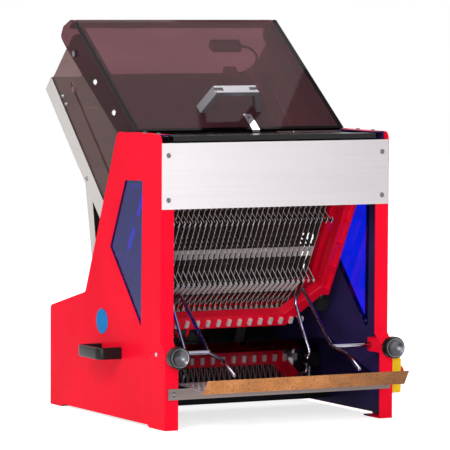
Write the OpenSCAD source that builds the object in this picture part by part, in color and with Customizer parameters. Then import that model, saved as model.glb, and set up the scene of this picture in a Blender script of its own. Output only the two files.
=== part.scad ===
// Tabletop bread slicer: two counter-moving blade frames behind a discharge shelf,
// fed by a sloping chute under a smoked lid. Millimetres, +Z up, front towards -Y.
// Profiles are drawn as [y, z] with y = 0 on the lower front face of the columns.

/* [Casing] */
// Width over the two side plates
body_w = 512; // [480:1:560]
// Sheet thickness of the side plates
plate_t = 3; // [2:0.5:5]
// Width of the folded front face of each side plate
column_w = 29; // [22:1:36]
// Height of the side plates
plate_h = 575; // [560:1:600]
// How far the upper front face stands behind the lower one
front_setback = 21; // [14:1:26]
// Height where the slanted front transition ends
front_step_z = 171; // [165:1:185]
// Height of the rear corner of the motor housing
housing_rear_z = 205; // [195:1:220]
// Height of the inner corner where the housing meets the sloped rear edge
housing_front_z = 245; // [240:1:260]
// Depth of that inner corner
housing_front_y = 349; // [340:1:360]
// Depth of the top rear corner of the side plates
plate_top_y = 212; // [205:1:222]
// Rise of the lower edge between the feet
foot_rise = 5; // [3:1:10]
// Length of the front feet
front_foot_l = 70; // [50:1:90]
// Length of the rear feet
rear_foot_l = 54; // [40:1:80]
// Corner radius of the top of the side plates
plate_top_r = 18; // [8:1:30]
// Thickness of the blue window panes
pane_t = 3; // [2:0.5:4]
// Overlap of the panes behind the window edge
pane_lap = 10; // [6:1:14]
// Thickness of thin steel sheet
sheet_t = 2; // [1.5:0.5:3]

/* [Front panel and top] */
// Height of the lower edge of the front panel
panel_low_z = 430; // [420:1:445]
// Height of the front panel
panel_h = 129; // [110:1:135]
// Inset of the front panel from the outside of the plates
panel_inset = 2; // [1:0.5:6]
// Depth of the black top cover
top_cover_l = 138; // [120:1:145]
// Height of the black front bar
top_bar_h = 10; // [8:1:14]

/* [Discharge shelf] */
// Height of the shelf surface
shelf_z = 84; // [78:1:95]
// Reach of the shelf in front of the columns
shelf_reach = 100; // [90:1:115]
// Depth of the flat perforated part behind the column face
shelf_back = 70; // [60:1:80]
// Pitch of the shelf perforations
hole_pitch = 12; // [11:1:16]
// Diameter of the shelf perforations
hole_d = 6; // [4:0.5:7]
// Height of the cross bar under the shelf
cross_bar_h = 22; // [18:1:26]
// Rise of the front lip
lip_h = 24; // [18:1:30]
// Forward lean of the front lip
lip_lean = 19; // [10:1:24]
// Half width of the front lip
lip_half = 224; // [215:1:235]
// Half width of the shelf at the cross bar
neck_half = 201; // [190:1:215]
// Slope of the polished slide behind the shelf
slide_slope = 17.5; // [12:0.5:18]
// Depth where the slide meets the bulkhead
bulkhead_y = 248; // [244:1:252]

/* [Chute and lid] */
// Slope of the chute floor
floor_slope = 44.6; // [42:0.2:47]
// Depth of the lower end of the chute floor
floor_y = 245; // [243:1:250]
// Height of the lower end of the chute floor
floor_z = 360; // [358:1:368]
// Length of the chute floor
floor_l = 448; // [430:1:460]
// Depth of the folded side flanges of the chute floor
floor_flange = 36; // [28:1:40]
// Gap between the chute floor and each side plate
floor_side_gap = 17; // [15:0.5:19]
// Thickness of the smoked plastic sheets
smoke_t = 4; // [3:0.5:5]
// Slope of the lid
lid_slope = 36.8; // [36:0.2:37.6]
// Depth of the front edge of the lid
lid_y = 170; // [168:1:175]
// Height of the front edge of the lid
lid_z = 577; // [576:1:584]
// Length of the lid sheet
lid_l = 365; // [360:1:372]
// Rear overhang of the lid side flanges
lid_tail = 22; // [16:1:26]
// Depth of the lid side flanges at the rear
lid_flange = 63; // [58:1:66]
// Distance of the lid pivot from the front edge, along the lid
pivot_s = 308; // [304:1:314]
// Depth of the lid pivot under the lid surface
pivot_d = 46; // [44:1:48]
// Diameter of the lid pivot bolts
pivot_bolt_d = 8; // [6:1:10]
// Height of the pusher slots above the chute floor
slot_h = 56; // [50:1:62]
// Width of the pusher slots
slot_w = 7; // [6:0.5:9]
// Start of the pusher slots along the floor
slot_start = 112; // [105:1:125]
// Height of the pusher plate
pusher_h = 96; // [80:1:110]
// Free travel of the pusher from its upper place
pusher_travel = 228; // [216:1:234]

/* [Blade frames] */
// Lean of the blades from upright
blade_lean = 30; // [28:0.5:32]
// Depth of the middle of the blade plane
blade_y = 199; // [196:1:202]
// Height of the middle of the blade plane
blade_z = 330; // [327:1:333]
// Blade pitch, which is the slice thickness
blade_pitch = 12; // [11:0.5:12.5]
// Number of blades in both frames together
blade_count = 31; // [21:2:31]
// Width of a blade
blade_w = 13; // [10:0.5:14]
// Thickness of a blade
blade_t = 0.8; // [0.6:0.1:1.2]
// Pitch of the wavy teeth
tooth_pitch = 15; // [12:1:25]
// Depth of the wavy teeth
tooth_h = 2.5; // [1:0.5:4]
// Gap between a blade frame and each window pane
frame_side_gap = 20; // [19:0.5:22]
// Width of the side rails of a blade frame
rail_w = 25; // [20:1:27]
// Depth of a blade frame across the blade plane
frame_d = 24; // [18:1:26]
// Gap between the blade plane and each frame
frame_gap = 12; // [11:0.5:14]
// Height of the cross bars of a blade frame
bar_h = 28; // [24:1:32]
// Middle of the lower cross bar below the blade middle
bar_low_v = 150; // [146:1:154]
// Middle of the upper cross bar above the blade middle
bar_top_v = 210; // [204:1:214]
// Half length of the straight lower cross bar
bar_low_half = 148; // [142:1:160]
// Stroke of each blade frame
stroke = 30; // [20:1:32]
// Diameter of the guide rods of the blade frames
guide_rod_d = 10; // [8:1:12]
// Wall of the frame bushes
bush_wall = 3; // [2:0.5:4]

/* [Combs] */
// Width of a comb finger in its own plane
finger_w = 6; // [4:0.5:7]
// Thickness of a comb finger
finger_t = 1.5; // [1:0.25:2.5]
// Diameter of the comb rods
comb_rod_d = 10; // [8:1:12]

/* [Drive] */
// Distance of the crankshaft below the blade middle, along the blades
crank_v = 286; // [282:1:292]
// Distance of the wrist pins below the blade middle
wrist_v = 178; // [176:1:182]
// Middle of each connecting rod from the centre plane
rod_x = 85; // [80:1:95]
// Thickness of the connecting rods
rod_t = 13; // [10:1:16]
// Diameter of the wrist pins
wrist_d = 12; // [10:1:14]
// Diameter of the crank pins
crank_pin_d = 14; // [12:1:16]
// Diameter of the crank discs
crank_disc_d = 58; // [54:1:64]
// Diameter of the crankshaft
crankshaft_d = 24; // [20:1:28]
// Diameter of the large pulley
big_pulley_d = 96; // [84:1:100]
// Diameter of the motor pulley
motor_pulley_d = 48; // [40:1:60]
// Width of the pulleys
pulley_w = 28; // [20:1:30]
// Thickness of the flat belt
belt_t = 4; // [2:0.5:5]
// Distance of the motor axis behind the crankshaft
motor_reach = 113; // [108:1:118]
// Free depth behind the motor
motor_room = 12; // [10:1:30]
// Height of the motor axis
motor_z = 100; // [92:1:110]
// Diameter of the motor
motor_d = 110; // [90:1:116]
// Length of the motor
motor_l = 180; // [150:1:200]
// Diameter of the motor shaft
motor_shaft_d = 14; // [12:1:18]
// Height of the top of the base plate
base_z = 24; // [20:1:28]

/* [Handles, knobs and guides] */
// Stand-off of the carrying handles
handle_out = 52; // [45:1:60]
// Length of the carrying handles
handle_l = 100; // [95:1:140]
// Height of the bar of the carrying handles
handle_bar = 24; // [18:1:28]
// Thickness of the bar of the carrying handles
handle_t = 11; // [8:1:14]
// Depth of the front end of the carrying handles
handle_y = 190; // [180:1:210]
// Height of the middle of the carrying handles
handle_z = 135; // [125:1:145]
// Diameter of the clamp knobs
knob_d = 44; // [36:1:46]
// Length of the clamp knobs
knob_l = 31; // [24:1:36]
// Height of the guide rods of the loaf guides
guide_z = 146; // [142:1:150]
// Depth of the guide rods of the loaf guides
guide_y = 40; // [34:1:44]
// Diameter of the rods of the loaf guides
guide_d = 10; // [8:1:11]
// Diameter of the bent wire of the loaf guides
wire_d = 7; // [5:0.5:8]
// Distance of each loaf guide from the centre plane
guide_x = 140; // [134:1:146]
// Size of the yellow stop box along the plate
stop_box_l = 70; // [60:1:80]
// Height of the yellow stop box
stop_box_h = 73; // [60:1:80]
// Depth of the yellow stop box
stop_box_d = 30; // [24:1:36]
// Diameter of the red stop button
stop_button_d = 38; // [30:1:40]
// Travel of the red stop button
stop_travel = 4; // [3:0.5:6]
// Diameter of the blue disc on the left plate
disc_d = 50; // [40:1:56]

/* [Fits] */
// Radial clearance of turning and sliding fits
run_clear = 0.05; // [0.02:0.01:0.1]
// Gap between pieces that move past each other
move_gap = 0.4; // [0.3:0.1:0.8]

/* [Hidden] */
$fn = 48;
half_w = body_w / 2;
inner_half = half_w - plate_t;
floor_half = inner_half - floor_side_gap;
frame_half = inner_half - pane_t - frame_side_gap;
crank_y = blade_y + crank_v * sin(blade_lean);
crank_z = blade_z - crank_v * cos(blade_lean);
motor_y = crank_y + motor_reach;
base_depth = motor_y + motor_d / 2 + motor_room;
lip_run = lip_lean - sheet_t;
lip_rise = lip_h + sheet_t;
front_reach = shelf_reach + lip_run + sheet_t * lip_rise / norm([lip_run, lip_rise]);
chute_rear = floor_y + floor_l * cos(floor_slope) + floor_flange * sin(floor_slope);
y_mid = (chute_rear - front_reach) / 2;
window = [[100, 483], [178, 480], [245, 344], [105, 193]];
pane_grow = [[-1, 1], [0.5, 1], [1, 0], [-1, -2]];
wall_out = floor_half - 3;
wall_in = wall_out - smoke_t;
lid_in = wall_out + 0.6;
lid_out = lid_in + smoke_t;
slot_end = 16;
slot_l = pusher_travel + 2 * slot_end + 2;
pusher_rest = slot_start + slot_l - slot_end;
screw_d = 5;
head_d = 10;
head_h = 3;
knob_stud_d = 8;

// Shared frames and shapes

// Puts the profile frame on the part's own origin, under the middle of its box
module placed() translate([0, -y_mid, 0]) children();

// Extrudes a [y, z] profile along X
module along_x(x0, x1) translate([x0, 0, 0]) rotate([90, 0, 90]) linear_extrude(x1 - x0) children();

// A round bar along X through [y, z]
module bar_x(x0, x1, y, z, d) translate([x0, y, z]) rotate([0, 90, 0]) cylinder(h = x1 - x0, d = d);

// Frame of the leaning blades: x across, y across the blade plane, z up along the blades
module lean() translate([0, blade_y, blade_z]) rotate([blade_lean, 0, 0]) children();

// Frame of the chute floor: y up along the floor, z square to it
module on_floor() translate([0, floor_y, floor_z]) rotate([floor_slope, 0, 0]) children();

// Frame of the lid: y up along the lid, z square to it
module on_lid() translate([0, lid_y, lid_z]) rotate([lid_slope, 0, 0]) children();

// Both mirror images in the centre plane
module both() {
    children();
    mirror([1, 0, 0]) children();
}

function unit(a) = a / norm(a);
function left_of(a) = [-a[1], a[0]];

// Mitred offset of point i of an open path by distance e to its left
function off_pt(p, i, e) =
    let (n = len(p), a = unit(i > 0 ? p[i] - p[i - 1] : p[1] - p[0]),
         b = unit(i < n - 1 ? p[i + 1] - p[i] : p[n - 1] - p[n - 2]),
         m = unit(left_of(a) + left_of(b)))
    p[i] + m * e / (m * left_of(a));

// Outline of a strip between offsets e0 and e1 of an open path
function strip(p, e0, e1) = concat([for (i = [0 : len(p) - 1]) off_pt(p, i, e0)],
    [for (i = [len(p) - 1 : -1 : 0]) off_pt(p, i, e1)]);

// Points of the arc that rounds corner b between a and c with radius r
function corner(a, b, c, r, n = 6) =
    let (u = unit(a - b), w = unit(c - b), t = r / tan(acos(u * w) / 2),
         m = b + unit(u + w) * r / sin(acos(u * w) / 2),
         s = b + u * t - m, e = b + w * t - m,
         turn = atan2(s[0] * e[1] - s[1] * e[0], s * e))
    [for (k = [0 : n]) let (q = turn * k / n)
        m + [s[0] * cos(q) - s[1] * sin(q), s[0] * sin(q) + s[1] * cos(q)]];

// Closed outline with its corners [y, z, radius] rounded
function rounded(p) = [for (i = [0 : len(p) - 1])
    let (n = len(p), a = p[(i + n - 1) % n], b = p[i], c = p[(i + 1) % n])
    each (b[2] > 0 ? corner([a[0], a[1]], [b[0], b[1]], [c[0], c[1]], b[2]) : [[b[0], b[1]]])];

// Open path through corners [y, z, radius], its two ends kept
function rounded_path(p) = [for (i = [0 : len(p) - 1])
    each (p[i][2] > 0 ? corner([p[i - 1][0], p[i - 1][1]], [p[i][0], p[i][1]],
        [p[i + 1][0], p[i + 1][1]], p[i][2], 5) : [[p[i][0], p[i][1]]])];

// A round tube of diameter d along a flat path p, whose plane is square to up
module tube(p, d, up, n = 8) {
    rings = [for (i = [0 : len(p) - 1])
        let (f = unit(p[min(i + 1, len(p) - 1)] - p[max(i - 1, 0)]), s = cross(up, f))
        for (k = [0 : n - 1]) p[i] + d / 2 * (cos(360 * k / n) * s + sin(360 * k / n) * up)];
    sides = [for (i = [0 : len(p) - 2], k = [0 : n - 1])
        let (a = i * n + k, b = i * n + (k + 1) % n)
        each [[a, b + n, b], [a, a + n, b + n]]];
    polyhedron(rings, concat([[for (k = [0 : n - 1]) k]], sides,
        [[for (k = [0 : n - 1]) len(p) * n - 1 - k]]));
}

// A dome-headed screw along +Z, its head seated at z = 0
module screw(len) {
    translate([0, 0, -len]) cylinder(h = len + head_h / 2, d = screw_d);
    cylinder(h = head_h, d1 = head_d, d2 = head_d * 0.6);
}

// Casing

// Line of the front fold: [y, z] from the floor to the top
front_line = [[0, 0], [0, front_step_z - front_setback], [front_setback, front_step_z],
    [front_setback, plate_h - 16]];

// Outline of a side plate
plate_line = rounded([[0, 0, 0], [front_foot_l, 0, 3], [front_foot_l + foot_rise, foot_rise, 3],
    [base_depth - rear_foot_l - foot_rise, foot_rise, 3], [base_depth - rear_foot_l, 0, 3],
    [base_depth, 0, 4], [base_depth, housing_rear_z, 8],
    [housing_front_y + 8, housing_front_z, 10], [plate_top_y, plate_h, plate_top_r],
    [front_setback, plate_h, 14], [front_setback, front_step_z, 4],
    [0, front_step_z - front_setback, 4]]);

module guide_hole() bar_x(half_w - 60, half_w + 1, guide_y, guide_z, guide_d + 2 * run_clear + 1);

module side_plate() color("crimson") difference() {
    union() {
        along_x(inner_half, half_w) difference() {
            polygon(plate_line);
            polygon(rounded([for (p = window) [p[0], p[1], 3]]));
        }
        along_x(half_w - column_w, inner_half) polygon(strip(front_line, 0, -plate_t));
        along_x(half_w - column_w, inner_half)
            translate([front_setback + 18, plate_h - plate_t])
                square([plate_top_y - front_setback - 60, plate_t]);
        for (foot = [[plate_t, front_foot_l - 6], [base_depth - rear_foot_l + 4, base_depth - 6]])
            translate([half_w - column_w, foot[0], 0])
                cube([column_w - plate_t, foot[1] - foot[0], plate_t]);
    }
    guide_hole();
    translate([half_w - column_w / 2, -1, guide_z - 1]) rotate([-90, 0, 0])
        cylinder(h = plate_t + 2, d = knob_stud_d + 2 * run_clear + 1);
}
module right_side_plate() placed() side_plate();
module left_side_plate() placed() mirror([1, 0, 0]) side_plate();

module window_pane() color("mediumblue") along_x(inner_half - pane_t, inner_half)
    polygon(rounded([for (i = [0 : 3]) [window[i][0] + pane_lap * pane_grow[i][0],
        window[i][1] + pane_lap * pane_grow[i][1], 4]]));
module right_window_pane() placed() window_pane();
module left_window_pane() placed() mirror([1, 0, 0]) window_pane();

panel_half = half_w - panel_inset;
panel_screws = [for (x = [-1, 1], z = [18, panel_h - 24])
    [x * (panel_half - 14), panel_low_z + z]];
module front_panel() placed() color("whitesmoke") difference() {
    translate([-panel_half, front_setback - sheet_t, panel_low_z])
        cube([2 * panel_half, sheet_t, panel_h]);
    for (s = panel_screws) translate([s[0], front_setback - sheet_t - 1, s[1]])
        rotate([-90, 0, 0]) cylinder(h = sheet_t + 2, d = screw_d);
}

top_bar_z = panel_low_z + panel_h + 3;
module top_front_bar() placed() color("black") along_x(-(half_w - column_w), half_w - column_w)
    difference() {
        translate([front_setback + plate_t, top_bar_z]) square([24, top_bar_h]);
        translate([front_setback + plate_t + sheet_t, top_bar_z + sheet_t])
            square([24 - 2 * sheet_t, top_bar_h - 2 * sheet_t]);
    }

module top_cover() placed() color("dimgray") along_x(-(half_w - column_w), half_w - column_w)
    polygon(strip([[front_setback + plate_t + 24, top_bar_z],
        [front_setback + plate_t + 24, top_bar_z + top_bar_h - sheet_t],
        [front_setback + plate_t + top_cover_l, top_bar_z + top_bar_h - sheet_t],
        [front_setback + plate_t + top_cover_l, top_bar_z - 20]], 0, -sheet_t));

// Discharge shelf

cross_bar_half = half_w - 6;
module cross_bar() placed() color("lightsteelblue") difference() {
    translate([-cross_bar_half, -sheet_t, shelf_z - sheet_t - cross_bar_h])
        cube([2 * cross_bar_half, sheet_t, cross_bar_h]);
    for (x = [-1, 1]) translate([x * (cross_bar_half - 12), -sheet_t - 1, cross_bar_screw_z])
        rotate([-90, 0, 0]) cylinder(h = sheet_t + 2, d = screw_d);
}
cross_bar_screw_z = shelf_z - sheet_t - cross_bar_h / 2;

// Plan of the shelf, [x, y]: a neck between the columns and wide wings in front
neck_y = -4;
shelf_plan = [[-neck_half, shelf_back], [-neck_half, neck_y], [-lip_half, -shelf_reach],
    [lip_half, -shelf_reach], [neck_half, neck_y], [neck_half, shelf_back]];
function wing(y) = (lip_half - neck_half) * max(0, neck_y - y) / (shelf_reach + neck_y);
function in_shelf(x, y) = abs(x) < neck_half + wing(y) - hole_d;
module perforated_shelf() placed() color("gray") translate([0, 0, shelf_z - sheet_t])
    linear_extrude(sheet_t) difference() {
        polygon(shelf_plan);
        for (j = [0 : floor((shelf_reach + shelf_back - 16) / hole_pitch)], i = [-20 : 20])
            let (y = -shelf_reach + 8 + j * hole_pitch, x = (i + (j % 2) / 2) * hole_pitch)
                if (in_shelf(x, y)) translate([x, y]) circle(d = hole_d, $fn = 16);
    }

lip_foot = 14;
module shelf_lip() placed() color("peru") along_x(-lip_half, lip_half)
    polygon(strip([[-shelf_reach + lip_foot, shelf_z - sheet_t], [-shelf_reach, shelf_z - sheet_t],
        [-shelf_reach - lip_run, shelf_z + lip_h]], 0, sheet_t));

slide_rise = (bulkhead_y - shelf_back) * tan(slide_slope);
module discharge_slide() placed() color("slategray") along_x(-inner_half + 2, inner_half - 2)
    polygon(strip([[shelf_back, shelf_z - sheet_t - 14], [shelf_back, shelf_z],
        [bulkhead_y, shelf_z + slide_rise]], 0, -sheet_t));

module drive_bulkhead() placed() color("gainsboro") along_x(-inner_half, inner_half)
    polygon(strip([[bulkhead_y + 1, shelf_z + slide_rise], [bulkhead_y + 1, base_z - 8],
        [bulkhead_y + 31, base_z - 8]], 0, sheet_t));

module base_plate() placed() color("darkgray")
    translate([-inner_half, bulkhead_y + sheet_t + 1, base_z - 6])
        cube([2 * inner_half, base_depth - bulkhead_y - 2 * sheet_t - 3, 6]);

// Rear housing

louvre_l = 80;
louvre_h = 5;
louvre_rise = 14;
louvre_z = 70;
louvre_pitch = louvre_l + 40;
gland_d = 16;
module rear_cover() placed() color("crimson") difference() {
    along_x(-inner_half, inner_half)
        translate([base_depth - sheet_t, 10]) square([sheet_t, housing_rear_z - 18]);
    for (row = [0 : 5], x = [-louvre_pitch, 0, louvre_pitch])
        translate([x - louvre_l / 2, base_depth - 10, louvre_z + row * louvre_rise])
            cube([louvre_l, 20, louvre_h]);
    translate([gland_x, base_depth - 10, gland_z]) rotate([-90, 0, 0]) cylinder(h = 20, d = gland_d);
}
gland_x = -190;
gland_z = 60;
module cable_gland() placed() color("black") translate([gland_x, base_depth - sheet_t - 6, gland_z])
    rotate([-90, 0, 0]) difference() {
        union() {
            cylinder(h = sheet_t + 6, d = gland_d - 2 * run_clear);
            cylinder(h = 6, d = gland_d + 8, $fn = 6);
            translate([0, 0, sheet_t + 6]) cylinder(h = 6, d = gland_d + 8, $fn = 6);
            translate([0, 0, sheet_t + 12]) cylinder(h = 8, d1 = 19, d2 = 14);
        }
        translate([0, 0, -1]) cylinder(h = 40, d = 9);
    }

housing_line = [[base_depth - 1, housing_rear_z - 4], [housing_front_y + 4, housing_front_z - 3],
    [housing_front_y - 18, housing_front_z - 3]];
module housing_cover() placed() color("crimson") along_x(-inner_half, inner_half)
    polygon(strip(housing_line, 0, sheet_t));

// Chute

module chute_floor() placed() color("lightgray") on_floor() difference() {
    translate([-floor_half, 0, -floor_flange]) cube([2 * floor_half, floor_l, floor_flange]);
    translate([-floor_half + sheet_t, -1, -floor_flange - 1])
        cube([2 * (floor_half - sheet_t), floor_l + 2, floor_flange + 1 - sheet_t]);
    both() translate([floor_half - sheet_t - 1, -1, -floor_flange - 1]) rotate([20, 0, 0])
        translate([0, -60, -60]) cube([sheet_t + 2, 60, 60 + floor_flange / 3]);
}

// Point at distance s along the chute floor and depth d under it
floor_dir = [cos(floor_slope), sin(floor_slope)];
floor_down = [sin(floor_slope), -cos(floor_slope)];
function floor_point(s, d) = [floor_y, floor_z] + s * floor_dir + d * floor_down;

hopper_s = 182;
hopper_strut = 46;
hopper_foot = 22;
hopper_low = [housing_front_y + 4, housing_front_z - 3];
hopper_top = floor_point(hopper_s, floor_flange);
hopper_dir = unit(hopper_top - hopper_low);
hopper_end = hopper_top - hopper_dir * (floor_flange - 2 * sheet_t) / (hopper_dir * floor_down);
module hopper_back_panel() placed() color("lightgray") {
    along_x(-floor_half + sheet_t, floor_half - sheet_t) polygon(strip([hopper_low - [hopper_foot, 0],
        hopper_low, hopper_end, hopper_end + hopper_foot * floor_dir], 0, sheet_t));
    both() along_x(floor_half - sheet_t, floor_half) polygon([hopper_low, hopper_top,
        floor_point(hopper_s - hopper_strut, floor_flange), hopper_low - [hopper_foot, 0]]);
}

// Point at distance s along the lid and depth d under it
function lid_point(s, d) = [lid_y + s * cos(lid_slope) + d * sin(lid_slope),
    lid_z + s * sin(lid_slope) - d * cos(lid_slope)];
pivot = lid_point(pivot_s, pivot_d);
relief_r = pivot_d - smoke_t - 2;
wall_line = concat([[floor_y, floor_z] + 6 * [cos(floor_slope), sin(floor_slope)],
    [floor_y, floor_z] + (floor_l - 4) * [cos(floor_slope), sin(floor_slope)],
    lid_point(pivot_s + 46, lid_flange - 1)],
    [for (q = [20 : 15 : 125]) pivot + relief_r * [cos(q), sin(q)]],
    [lid_point(8, pivot_d - relief_r), [lid_y + 4, lid_z - 40]]);

module chute_wall() color([0.45, 0.33, 0.34, 0.7]) difference() {
    along_x(wall_in, wall_out) polygon(wall_line);
    on_floor() translate([wall_in - 1, slot_start, slot_h]) rotate([0, 90, 0])
        linear_extrude(smoke_t + 2) union() {
            translate([-slot_w / 2, 0]) square([slot_w, slot_l]);
            circle(d = slot_w);
            translate([0, slot_l]) circle(d = slot_w);
        }
    bar_x(wall_in - 1, wall_out + 1, pivot[0], pivot[1], pivot_bolt_d + 2 * run_clear);
}
module right_chute_wall() placed() chute_wall();
module left_chute_wall() placed() mirror([1, 0, 0]) chute_wall();

spacer_d = 16;
spacers = [[floor_point(14, floor_flange - 25), floor_half], [[lid_y + 16, lid_z - 45], wall_out]];
module chute_spacers() placed() color("silver") both() for (s = spacers)
    bar_x(s[1], inner_half, s[0][0], s[0][1], spacer_d);

module pivot_bolt() {
    bar_x(wall_in - 5, lid_out + move_gap, pivot[0], pivot[1], pivot_bolt_d);
    bar_x(lid_out + move_gap, lid_out + move_gap + 4, pivot[0], pivot[1], pivot_bolt_d + 5);
    translate([wall_in - 5, pivot[0], pivot[1]]) rotate([0, 90, 0])
        cylinder(h = 5, d = pivot_bolt_d + 6, $fn = 6);
}

// Lid

lid_side = rounded([[0, 0, 0], [lid_l, 0, 14], [lid_l + lid_tail, -36, 10],
    [lid_l + lid_tail - 2, -lid_flange + 2, 9], [lid_l - 10, -lid_flange, 9],
    [60, -53, 6], [24, -22, 6]]);
lid_roll = [[lid_l - 12, 0], [lid_l - 2, -1], [lid_l + 6, -8], [lid_l + 14, -32]];
module lid() placed() color([0.33, 0.2, 0.22, 0.75]) difference() {
    on_lid() union() {
        both() translate([lid_in, 0, 0]) rotate([90, 0, 90]) linear_extrude(smoke_t) polygon(lid_side);
        translate([-lid_in, 0, -smoke_t]) cube([2 * lid_in, lid_l - 12, smoke_t]);
        translate([-wall_in + 2, 0, 0]) rotate([90, 0, 90]) linear_extrude(2 * wall_in - 4)
            polygon(strip(lid_roll, 0, -smoke_t));
    }
    both() bar_x(lid_in - 1, lid_out + 1, pivot[0], pivot[1], pivot_bolt_d + 2 * run_clear);
}

// Dark seal under the two sides and the front of the lid sheet
seal_w = 11;
seal_t = 4;
module lid_seal() placed() color("black") on_lid() translate([0, 0, -smoke_t - seal_t]) {
    both() translate([wall_in - 1 - seal_w, 2, 0]) cube([seal_w, lid_l - 18, seal_t]);
    translate([-wall_in + 1 + seal_w, 2, 0]) cube([2 * (wall_in - 1 - seal_w), seal_w, seal_t]);
}

lid_screw_at = [[96, 30], [200, 34]];
handle_s = 65;
handle_half = 70;
handle_rise = 52;
module lid_handle() placed() color("silver") on_lid() difference() {
    translate([0, handle_s + 11, 0]) rotate([90, 0, 0]) linear_extrude(22)
        polygon([[-handle_half, 0], [-handle_half + 22, handle_rise], [handle_half - 22, handle_rise],
            [handle_half, 0], [handle_half - 12, 0], [handle_half - 29, handle_rise - 10],
            [-handle_half + 29, handle_rise - 10], [-handle_half + 12, 0]]);
    both() translate([handle_half - 40, handle_s - 5, handle_rise - 4]) cube([20, 10, 8]);
}

strap_x = 24;
module strap() on_lid() difference() {
    translate([strap_x, 0, 0]) rotate([90, 0, 90]) linear_extrude(17)
        polygon(strip([[46, 2], [-4, 2], [-10, -10]], 0, 2));
    translate([strap_x + 8.5, 36, -1]) cylinder(h = 8, d = screw_d);
}

stop_pad = [62, 26, 14];
light_strip = [9, 190, 3];
module lid_fittings() placed() color("gray") {
    strap();
    on_lid() both() for (p = lid_screw_at) translate([lid_out, p[0], -p[1]]) rotate([0, 90, 0]) {
        cylinder(h = head_h, d1 = head_d + 2, d2 = head_d - 3);
    }
    on_lid() translate([-126, 30, -smoke_t - stop_pad[2]]) difference() {
        cube(stop_pad);
        for (x = [14, stop_pad[0] - 14]) translate([x, stop_pad[1] / 2, -1]) cylinder(h = 6, d = screw_d);
    }
    on_lid() translate([98, seal_w + 3, -smoke_t - light_strip[2]]) cube(light_strip);
}

sensor_s = 276;
sensor_size = [66, 22, 16];
switch_size = [26, 24, 12];
module safety_sensor() placed() color("gray") on_lid() {
    translate([56, sensor_s, -smoke_t - sensor_size[2]]) difference() {
        cube(sensor_size);
        for (x = [16, sensor_size[0] - 16]) translate([x, sensor_size[1] / 2, -1])
            cylinder(h = 6, d = screw_d);
    }
    translate([50, sensor_s - 92, -smoke_t - switch_size[2]]) cube(switch_size);
}

// Route of the sensor cable in the frame of the lid
cable_d = 5;
cable_route = [[122, 287, -13], [130, 287, -13], [141, 284, -13], [148, 275, -13], [150, 263, -13],
    [148, 250, -13], [141, 236, -13], [130, 222, -13], [117, 211, -13], [104, 204, -13],
    [90, 198, -13], [76, 196, -13]];
module sensor_cable() placed() color("black") on_lid() tube(cable_route, cable_d, [0, 0, 1]);

// Pusher

module pusher() placed() color("rosybrown") on_floor() translate([0, pusher_rest, 0]) {
    difference() {
        translate([-wall_in + 2, -2, 2]) cube([2 * wall_in - 4, 4, pusher_h]);
        both() translate([wall_in - 40, -3, -1]) cube([20, 6, 14]);
    }
    translate([-wall_in + 2, 2, slot_h - 6]) cube([2 * wall_in - 4, 10, 2]);
    both() translate([wall_in - 2, 0, slot_h]) rotate([0, 90, 0]) {
        cylinder(h = smoke_t + 2 + move_gap, d = slot_w - 2 * run_clear);
        translate([0, 0, smoke_t + 2 + move_gap]) cylinder(h = 2, d = slot_w + 6);
    }
}
module pusher_bracket() placed() color("tan") on_floor() translate([-100, pusher_rest - 2, 26]) {
    translate([0, -3, 0]) cube([50, 3, 70]);
    for (x = [8, 36]) along_x(x, x + 4) polygon([[-1, 12], [-21, 12], [-21, 46], [-1, 64]]);
    translate([6, -13, 32]) rotate([0, 90, 0]) cylinder(h = 38, d = 8);
}

// Blade frames, in the frame of the leaning blades

blade_x = [for (i = [0 : blade_count - 1]) (i - (blade_count - 1) / 2) * blade_pitch];
function own_x(first) = [for (i = [first : 2 : blade_count - 1]) blade_x[i]];
front = -1;
rear = 1;
function frame_mid(side) = side * (frame_gap + frame_d / 2);
bar_low_z = -bar_low_v;
rail_low_v = 92;
rail_in = frame_half - rail_w;
guide_rod_x = frame_half + 7;
lug_d = 22;
lug_h = 24;
bush_d = guide_rod_d + 2 * run_clear + 2 * bush_wall;
clip_w = 7;
clip_h = 14;
shank_w = 5;
shank_h = 9;
rivet_d = 3;
function lug_v(side) = side == front ? [160, 0] : [80, -78];

// Extrudes an [x, v] outline through the depth of one frame
module across_frame(side) translate([0, frame_mid(side) + frame_d / 2, 0]) rotate([90, 0, 0])
    linear_extrude(frame_d) children();

frame_out = [[-frame_half + 8, bar_top_v + bar_h / 2], [frame_half - 8, bar_top_v + bar_h / 2],
    [frame_half, bar_top_v + bar_h / 2 - 8], [frame_half, -rail_low_v],
    [frame_half - 18, -rail_low_v], [bar_low_half, bar_low_z - bar_h / 2],
    [-bar_low_half, bar_low_z - bar_h / 2], [-frame_half + 18, -rail_low_v],
    [-frame_half, -rail_low_v], [-frame_half, bar_top_v + bar_h / 2 - 8]];
frame_in = [[-rail_in, bar_top_v - bar_h / 2], [rail_in, bar_top_v - bar_h / 2],
    [rail_in, -rail_low_v + 22], [bar_low_half - 11, bar_low_z + bar_h / 2],
    [-bar_low_half + 11, bar_low_z + bar_h / 2], [-rail_in, -rail_low_v + 22]];
ear_t = 6;
ear_gap = rod_t + 1;
ear_w = wrist_d + 10;

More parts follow.
